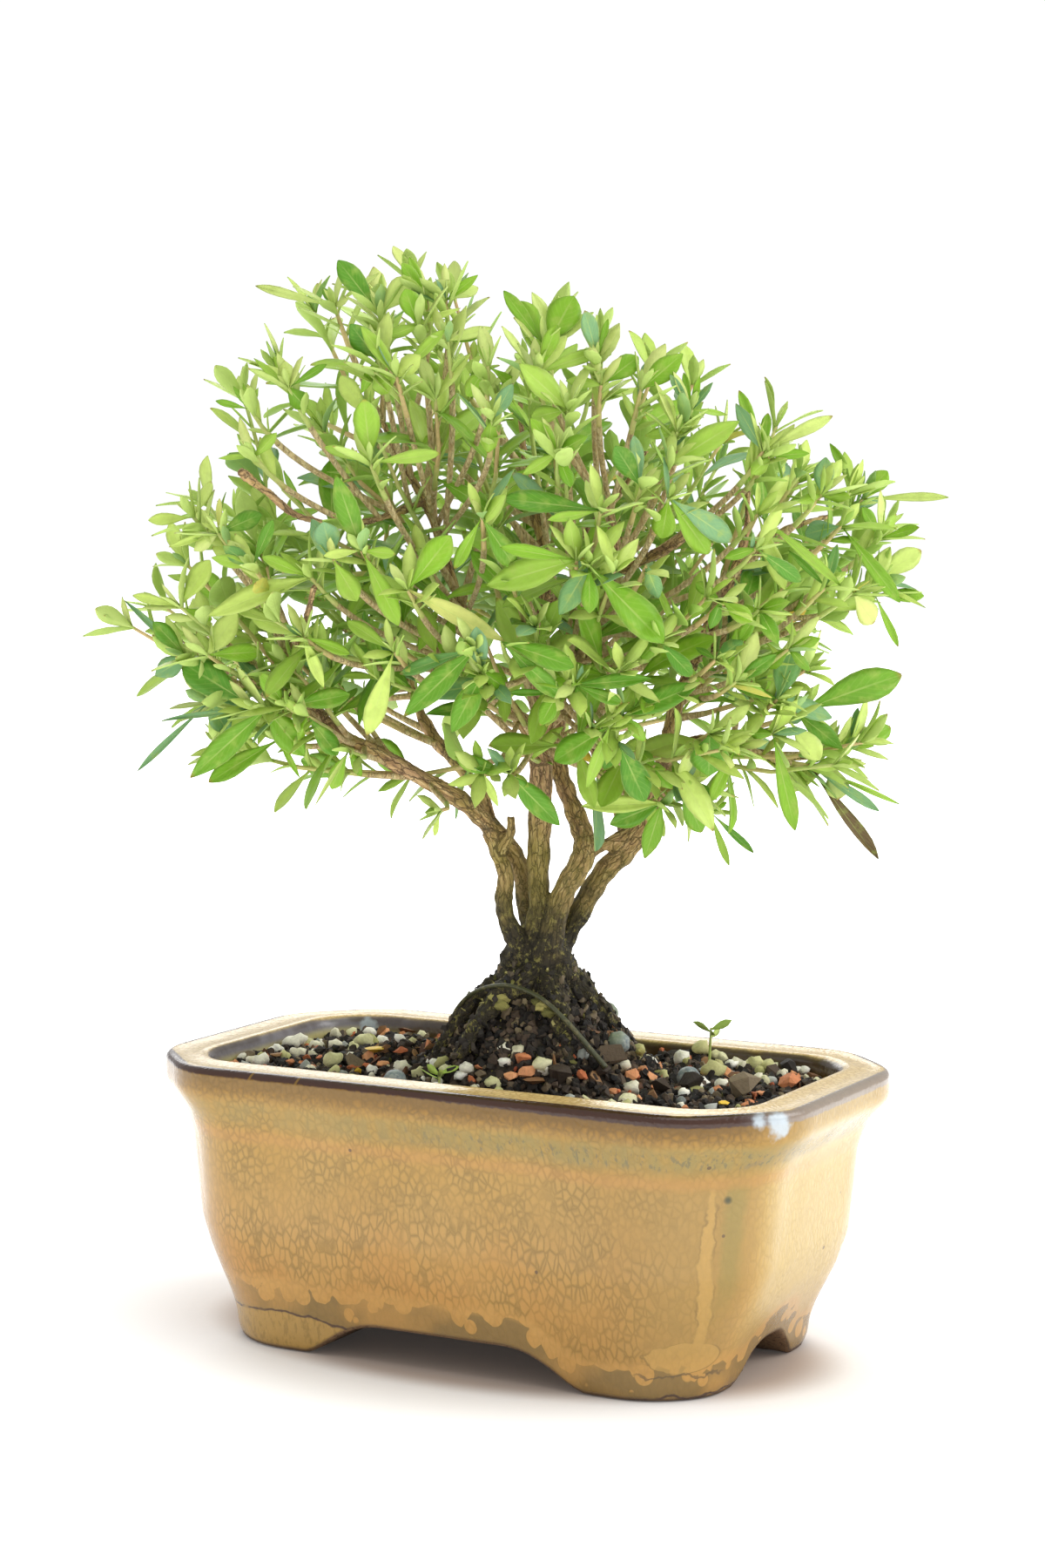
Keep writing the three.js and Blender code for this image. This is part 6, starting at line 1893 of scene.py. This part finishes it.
def leaf_points(leaves, seed):
    """Mesh of one point for each leaf, with what the leaf tree reads."""
    rng = np.random.default_rng(seed)
    roots, turns, sizes, kinds, tones = [], [], [], [], []
    for leaf in leaves:
        upper = lit_side(leaf, rng)
        axes = turned(np.array([np.cross(leaf["along"], upper), leaf["along"], upper]))
        turns.append(Matrix(axes.T.tolist()).to_euler())
        roots.append(leaf["root"])
        wide = leaf["width"] * (1 if "tone" in leaf else rng.uniform(0.95, 1.22)) * MM
        sizes.append((wide, leaf["length"] * MM, leaf["length"] * MM))
        small = leaf.get("small", False)
        if small:
            kinds.append(2 * len(BLADE_DROOPS) + int(leaf["droop"] > 0.03))
        else:
            form = int(rng.random() < 0.45) * len(BLADE_DROOPS)
            kinds.append(form + int(np.abs(np.array(BLADE_DROOPS) - leaf["droop"]).argmin()))
        if "tone" in leaf:
            tones.append(leaf["tone"])
            continue
        # Painted light: besides the young leaves, those on the left, high in the crown and at its edge get a
        # paler tone, as if light shone through them.
        tone = rng.uniform(0.08, 0.44) + 0.2 * leaf["young"] ** 2 + 0.14 * smooth(-30, -70, leaf["root"][0])
        from_middle = (leaf["root"] - CROWN_MIDDLE) / CROWN_REACH
        tone += 0.17 * smooth(165, 215, leaf["root"][2]) + 0.25 * smooth(
            0.7, 1.05, np.linalg.norm(from_middle))
        chance = rng.random()
        tones.append(0.955 if chance > 0.994 else rng.uniform(0, 0.04) if chance < 0.07 else min(tone, 0.86))
    mesh = mesh_from("leaf_points", in_tree_axes(np.array(roots)), [])
    give(mesh, "turn", np.array([tuple(turn) for turn in turns]), "FLOAT_VECTOR")
    give(mesh, "size", np.array(sizes), "FLOAT_VECTOR")
    give(mesh, "kind", np.array(kinds, np.int32), "INT")
    give(mesh, "tone", np.array(tones))
    return mesh


def leafed(name, forms, leaves, seed, kit, size):
    """One object from the forms of some stems and the leaves on them."""
    tree, shapes, leaf, stalk = kit
    spots = object_from("spots", leaf_points(leaves, seed))
    blades = object_from(name, worked(spots, tree, name, Blades=shapes, Size=size, Material=leaf))
    points, faces = gathered(forms)
    stalks = mesh_from("stalks", in_tree_axes(points), faces)
    stalks.materials.append(stalk)
    return join([blades, object_from("stalks", stalks)])


def make_spray(name, shoots, leaves, seed, kit, size, *nodes):
    """One piece from the stems of some shoots and their leaves."""
    stems = []
    for shoot in shoots:
        shares = np.linspace(shoot["split"] + 0.15 / shoot["length"], 1, 9)
        path = np.array([stem_point(shoot, share) for share in shares])
        stems.append(tube_rings(path, np.linspace(SHOOT_RADIUS, SHOOT_END_RADIUS, 9), 7))
    finish_piece(leafed(name, stems, leaves, seed, kit, size), "foliage", *nodes)


# Small pieces

def make_tie(settings):
    count = (len(TIE) - 1) * 8
    path = np.array([curve_at(TIE, mix(0.1, 0.84, step / count)) for step in range(count + 1)])
    points, faces = tube_rings(path, np.linspace(0.7, 1.1, len(path)) * TIE_RADIUS, 14, 0.6)
    mesh = mesh_from("tie_band", in_tree_axes(points), faces)
    material, tree, place = new_material("Olive coated tie wire")
    worn = tree.noise(place, 0.9, 4.0, 0.6)
    colour = tree.blend(tree.ease(worn, 0.48, 0.66), settings.tie[:], srgb(104, 98, 66))
    wire_up(tree, colour, tree.ease(worn, 0.3, 0.7, 0.42, 0.62), worn, 0.25)
    mesh.materials.append(material)
    return finish_piece(object_from("tie_band", mesh), "tie_wire", "tie_wire")


def make_pellets():
    material, tree, place = new_material("Grey slow-release pellet")
    dusty = tree.noise(place, 1.3, 4.0, 0.6)
    stain = tree.noise(place, 0.05, 1.0)
    colour = tree.blend(tree.ease(dusty, 0.4, 0.68), srgb(118, 130, 134), srgb(166, 172, 166))
    colour = colour.coated(tree.ease(stain, 0.52, 0.58, 0.0, 0.6), 138, 148, 112)
    wire_up(tree, colour, tree.ease(dusty, 0, 1, 0.45, 0.65), dusty, 0.3)
    for number, (x, y) in enumerate(PELLETS):
        centre = np.array([x, y, soil_height(x, y) + PELLET_RADIUS * 0.75])
        centre = centre + PELLET_SHIFTS[min(number, 2)]
        shape = bmesh.new()
        bmesh.ops.create_icosphere(shape, subdivisions=4, radius=PELLET_RADIUS)
        lean = Matrix.Rotation(0.5 + number, 3, "X") @ Matrix.Rotation(number * 1.3, 3, "Z")
        for vertex in shape.verts:
            angle = math.atan2(vertex.co.y, vertex.co.x)
            flat = 1 - abs(vertex.co.z) / PELLET_RADIUS
            ridge = 1 + 0.035 * math.cos(angle * 7) * min(1, flat * 2.5)
            vertex.co = lean @ Vector((vertex.co.x * ridge, vertex.co.y * ridge, vertex.co.z * 0.93))
        points = np.array([tuple(vertex.co) for vertex in shape.verts]) + centre
        faces = [tuple(vertex.index for vertex in face.verts) for face in shape.faces]
        shape.free()
        mesh = mesh_from(f"food_pellet_{number + 1}", in_tree_axes(points), faces)
        mesh.materials.append(material)
        finish_piece(object_from(mesh.name, mesh), "pellet", f"pellet_{number + 1}")


def make_seedlings(kit):
    for number, (x, y, height, count, length) in enumerate(SEEDLINGS):
        foot = np.array([x, y, soil_height(x, y) - 4])
        top = np.array([x + 0.6, y, soil_height(x, y) + height])
        leaves = []
        for turn in range(count):
            angle = turn * 2.4
            leaves.append({"root": mix(foot, top, mix(0.97, 0.8, turn / count)), "stem": UP, "young": 0.6,
                "along": unit(np.array([math.cos(angle), math.sin(angle), 0.45])), "small": True,
                "length": length, "width": length * 0.36, "droop": 0.1, "tone": 0.5 + 0.06 * turn})
        path = np.array([mix(foot, top, share) for share in np.linspace(0, 1, 6)])
        stalk = tube_rings(path, np.linspace(0.36, 0.24, 6), 8)
        piece = leafed(f"weed_{number + 1}", [stalk], leaves, number, kit, 1.0)
        finish_piece(piece, "foliage", f"seedling_{number + 1}")


def dress_screens():
    material, tree, place = new_material("Black woven mesh")
    woven = tree.math("SINE", tree.parts(tree.vector("SCALE", place, 6.0))[0]) * 0.5
    colour = tree.blend(tree.ease(woven, -0.2, 0.4), srgb(24, 24, 24), srgb(44, 44, 42))
    wire_up(tree, colour, tree.ease(woven, -0.5, 0.5, 0.5, 0.7), woven, 0.4)
    for name in ("drain_screen_1", "drain_screen_2"):
        node = frame["nodes"][name]
        if node.material_slots:
            for slot in node.material_slots:
                slot.material = material
        else:
            node.data.materials.append(material)


# Studio

def area_light(name, place, aim, size, power, colour=(1, 1, 1)):
    data = bpy.data.lights.new(name, "AREA")
    data.shape, data.size, data.size_y = "RECTANGLE", size[0], size[1]
    data.energy, data.color = power, colour
    light = bpy.data.objects.new(name, data)
    light.location = place
    light.rotation_euler = (Vector(aim) - Vector(place)).to_track_quat("-Z", "Y").to_euler()
    bpy.context.scene.collection.objects.link(light)
    return light


def make_studio(settings):
    scene = bpy.context.scene
    world = scene.world or bpy.data.worlds.new("White room")
    scene.world = world
    world.use_nodes = True
    world.node_tree.nodes.clear()
    tree = Tree(world.node_tree)
    seen = tree.out("Is Camera Ray", "ShaderNodeLightPath")
    strength = tree.out(0, "ShaderNodeMapRange", {0: seen, 3: settings.fill, 4: 1.05})
    background = tree.out(0, "ShaderNodeBackground", {"Color": (1, 1, 1, 1), "Strength": strength})
    tree.put("ShaderNodeOutputWorld", {0: background})

    floor = object_from("studio_floor", mesh_from("studio_floor", np.array([
        (-3, -3, 0), (3, -3, 0), (3, 3, 0), (-3, 3, 0)]) + [POT_X, POT_Y, -0.0001], [(0, 1, 2, 3)]))
    material, tree, place = new_material("White paper", Roughness=0.9, Specular_IOR_Level=0.1)
    grain = tree.noise(place, 0.8, 2.0)
    colour = tree.blend(grain, (0.86, 0.86, 0.86, 1), (0.9, 0.9, 0.9, 1))
    # Painted shadow: under the pot and just round it the paper is painted brown, and its glow fades almost
    # to nothing there, as if shaded.
    away = tree.length(tree.scaled(place, 0.012, 0.02, 0))
    colour = tree.blend(tree.ease(away, 0.94, 0.74), colour, (0.5, 0.4, 0.33, 1))
    near = tree.ease(away, 0.6, 2.6, 0.02, 1.0)
    wire_up(tree, colour)
    tree.feed(tree.shader["Emission Color"], tree.out(0, "ShaderNodeCombineColor",
        {0: near, 1: near, 2: near}))
    tree.shader["Emission Strength"].default_value = settings.floor_glow
    floor.data.materials.append(material)
    floor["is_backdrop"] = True

    aim = (POT_X, POT_Y, 0.11)
    area_light("Window right", (1.0, 0.35, 0.75), aim, (1.0, 0.8), settings.window)
    area_light("Window back left", (-0.75, 0.85, 0.7), aim, (0.9, 0.7), settings.window * 0.6)
    area_light("Softbox above", (0.1, -0.2, 1.25), aim, (0.9, 0.9), settings.window * 0.45)

    data = bpy.data.cameras.new("Photograph")
    data.sensor_fit, data.sensor_width, data.sensor_height, data.lens = "VERTICAL", 24, 36, 76.56
    data.shift_x = settings.shift
    data.clip_start, data.clip_end = 0.01, 10
    camera = bpy.data.objects.new("Photograph", data)
    right = Vector((0.8778, 0.4790, 0.0)).normalized()
    cos, sin = math.cos(VIEW_DIP), math.sin(VIEW_DIP)
    forward = Vector((-right.y * cos, right.x * cos, -sin))
    up = right.cross(forward)
    turn = Matrix((right, up, -forward)).transposed()
    camera.matrix_world = Matrix.Translation((POT_X + 0.3395, POT_Y - 0.6256, 0.1918)) @ turn.to_4x4()
    scene.collection.objects.link(camera)
    scene.camera = camera
    scene.view_settings.view_transform = "Standard"


# What a user may change

def colour_choice(name, description, *shade):
    return bpy.props.FloatVectorProperty(name=name, description=description, subtype="COLOR", size=4,
        default=srgb(*shade))


class PotSettings(bpy.types.PropertyGroup):
    """Colours and net of the glaze"""
    glaze: colour_choice("Glaze", "Body of the glaze", 177, 137, 61)
    glaze_low: colour_choice("Low glaze", "Glaze low on the wall", 187, 137, 68)
    crack: colour_choice("Net", "Lines of the net in the glaze", 116, 94, 40)
    pool: colour_choice("Pooled glaze", "Band where the glaze ran together", 118, 98, 56)
    line: colour_choice("Lip line", "Dark line on the lip's outer edge", 60, 34, 22)
    crack_size: bpy.props.FloatProperty(name="Cell size", description="Cells of the net, in millimetres",
        default=1.55, min=0.3, max=10)
    gloss: bpy.props.FloatProperty(name="Roughness", description="Roughness of the glaze", default=0.17,
        min=0, max=1, subtype="FACTOR")


class LitterSettings(bpy.types.PropertyGroup):
    """Litter on the soil"""
    amount: bpy.props.FloatProperty(name="Amount", description="Share of the usual number of pieces",
        default=1.0, min=0, max=3, subtype="FACTOR")
    seed: bpy.props.IntProperty(name="Seed", description="Another lie of the litter", default=5)


class TreeSettings(bpy.types.PropertyGroup):
    """Bark and leaves"""
    bark: colour_choice("Bark", "Dry bark of the stems", 206, 174, 118)
    leaf_dark: colour_choice("Dark leaf", "Oldest leaves", 88, 144, 38)
    leaf: colour_choice("Leaf", "Most leaves", 134, 180, 44)
    # The light leaf colour also carries leaves painted paler by light on the left, at the top and at the
    # crown's edge.
    leaf_light: colour_choice("Light leaf", "Young leaves", 194, 216, 108)
    leaf_size: bpy.props.FloatProperty(name="Leaf size", description="Share of the usual leaf size",
        default=1.0, min=0.3, max=2, subtype="FACTOR")
    leaf_gloss: bpy.props.FloatProperty(name="Roughness", description="Roughness of the upper side",
        default=0.42, min=0, max=1, subtype="FACTOR")
    shoots: bpy.props.IntProperty(name="Further shoots", description="Shoots besides the part's own",
        default=84, min=9, max=300)
    tie: colour_choice("Tie wire", "Coating of the tie wire", 66, 68, 42)


class StudioSettings(bpy.types.PropertyGroup):
    """Light and view"""
    fill: bpy.props.FloatProperty(name="Fill", description="White light from all round", default=0.72, min=0,
        max=5)
    window: bpy.props.FloatProperty(name="Windows", description="Power of the window light", default=9.0,
        min=0, max=200, unit="POWER")
    floor_glow: bpy.props.FloatProperty(name="Paper glow", description="Light that the paper adds",
        default=1.0, min=0, max=3)
    shift: bpy.props.FloatProperty(name="Shift", description="Sideways shift of the view", default=0.00667,
        min=-1, max=1)


SPRAY_GROUPS = 12
growth = {}


def grown():
    """The shoots and their leaves, grown once for the pieces that need them."""
    if not growth:
        places, radii = limb_samples()
        shoots = [grow_shoot(tip, places, radii) for tip in TIPS]
        taken = grow_leaves(shoots, places, radii)
        further = more_shoots(places, radii, bpy.context.scene.bonsai_tree.shoots)
        shown = shown_sprays(places, radii)
        taken = np.concatenate([taken, *[blade_spots(leaf, (0.5, 0.9)) for shoot in shown
            for leaf in shoot["leaves"]]])
        grow_more_leaves(further, taken)
        growth.update(shoots=shoots, further=further + shown)
    return growth["shoots"], growth["further"]


class BONSAI_OT_pot(bpy.types.Operator):
    """Make the glazed pot"""
    bl_idname = "bonsai.make_pot"
    bl_label = "Glazed pot"

    def execute(self, context):
        make_pot(context.scene.bonsai_pot)
        return {"FINISHED"}


class BONSAI_OT_soil(bpy.types.Operator):
    """Make the soil and scatter its litter"""
    bl_idname = "bonsai.make_soil"
    bl_label = "Soil and litter"

    def execute(self, context):
        scatter_litter(make_soil(), context.scene.bonsai_litter, LITTER)
        return {"FINISHED"}


class BONSAI_OT_wood(bpy.types.Operator):
    """Make the stems, roots and twigs"""
    bl_idname = "bonsai.make_wood"
    bl_label = "Stems and roots"

    def execute(self, context):
        shoots, further = grown()
        wood = make_wood(shoots, further, context.scene.bonsai_tree)
        scatter_litter(wood, context.scene.bonsai_litter, ROOT_LITTER)
        return {"FINISHED"}


class BONSAI_OT_leaves(bpy.types.Operator):
    """Grow the leafy sprays and the weeds in the soil"""
    bl_idname = "bonsai.make_leaves"
    bl_label = "Leaves"

    def execute(self, context):
        settings = context.scene.bonsai_tree
        shoots, further = grown()
        shapes = blade_shapes()
        kit = (leaf_tree(), shapes, leaf_material(settings), stalk_material())
        for number, shoot in enumerate(shoots):
            leaves = shoot["leaves"] + small_leaves(shoot, 700 + number)
            make_spray(f"spray_{number + 1:02d}", [shoot], leaves, number, kit, settings.leaf_size,
                f"shoot_{number + 1:02d}")
        for group in range(SPRAY_GROUPS):
            some = further[group::SPRAY_GROUPS]
            leaves = [leaf for number, shoot in enumerate(some)
                for leaf in shoot["leaves"] + [leaf for leaf in small_leaves(
                shoot, 2000 + group * 40 + number) if not in_bare_run(
                leaf["root"] + leaf["along"] * leaf["length"] / 2)]]
            make_spray(f"inner_sprays_{group + 1:02d}", some, leaves, 500 + group, kit, settings.leaf_size)
        make_seedlings(kit)
        remove_shapes(shapes)
        return {"FINISHED"}


class BONSAI_OT_small_parts(bpy.types.Operator):
    """Make the tie wire, the pellets and the drain screens"""
    bl_idname = "bonsai.make_small_parts"
    bl_label = "Tie wire, pellets, screens"

    def execute(self, context):
        make_tie(context.scene.bonsai_tree)
        make_pellets()
        dress_screens()
        return {"FINISHED"}


class BONSAI_OT_studio(bpy.types.Operator):
    """Set up the paper, the lights and the camera"""
    bl_idname = "bonsai.make_studio"
    bl_label = "Studio"

    def execute(self, context):
        make_studio(context.scene.bonsai_studio)
        return {"FINISHED"}


class BONSAI_PT_panel(bpy.types.Panel):
    """Lists the pieces of the bonsai and what may be changed"""
    bl_idname = "BONSAI_PT_panel"
    bl_label = "Bonsai"
    bl_space_type = "VIEW_3D"
    bl_region_type = "UI"
    bl_category = "Bonsai"

    def draw(self, context):
        for operator in OPERATORS:
            self.layout.operator(operator.bl_idname)
        for name in SETTINGS:
            settings = getattr(context.scene, name)
            box = self.layout.box()
            for key in settings.__annotations__:
                box.prop(settings, key)


OPERATORS = (BONSAI_OT_studio, BONSAI_OT_pot, BONSAI_OT_soil, BONSAI_OT_wood, BONSAI_OT_leaves,
             BONSAI_OT_small_parts)
SETTINGS = {"bonsai_pot": PotSettings, "bonsai_litter": LitterSettings, "bonsai_tree": TreeSettings,
            "bonsai_studio": StudioSettings}


def register():
    for made in (*SETTINGS.values(), *OPERATORS, BONSAI_PT_panel):
        bpy.utils.register_class(made)
    for name, group in SETTINGS.items():
        setattr(bpy.types.Scene, name, bpy.props.PointerProperty(type=group))


def unregister():
    for name in SETTINGS:
        delattr(bpy.types.Scene, name)
    for made in (BONSAI_PT_panel, *reversed(OPERATORS), *reversed(SETTINGS.values())):
        bpy.utils.unregister_class(made)


def plain(box):
    """Corners of a box as plain lists."""
    return [[float(value) for value in corner] for corner in box]


def main():
    register()
    bpy.ops.bonsai.make_studio()
    bpy.ops.bonsai.make_pot()
    bpy.ops.bonsai.make_soil()
    bpy.ops.bonsai.make_wood()
    bpy.ops.bonsai.make_leaves()
    bpy.ops.bonsai.make_small_parts()
    {"cad": plain(LOADED_BOX), "visual": plain(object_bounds())}


if __name__ == "__main__":
    main()
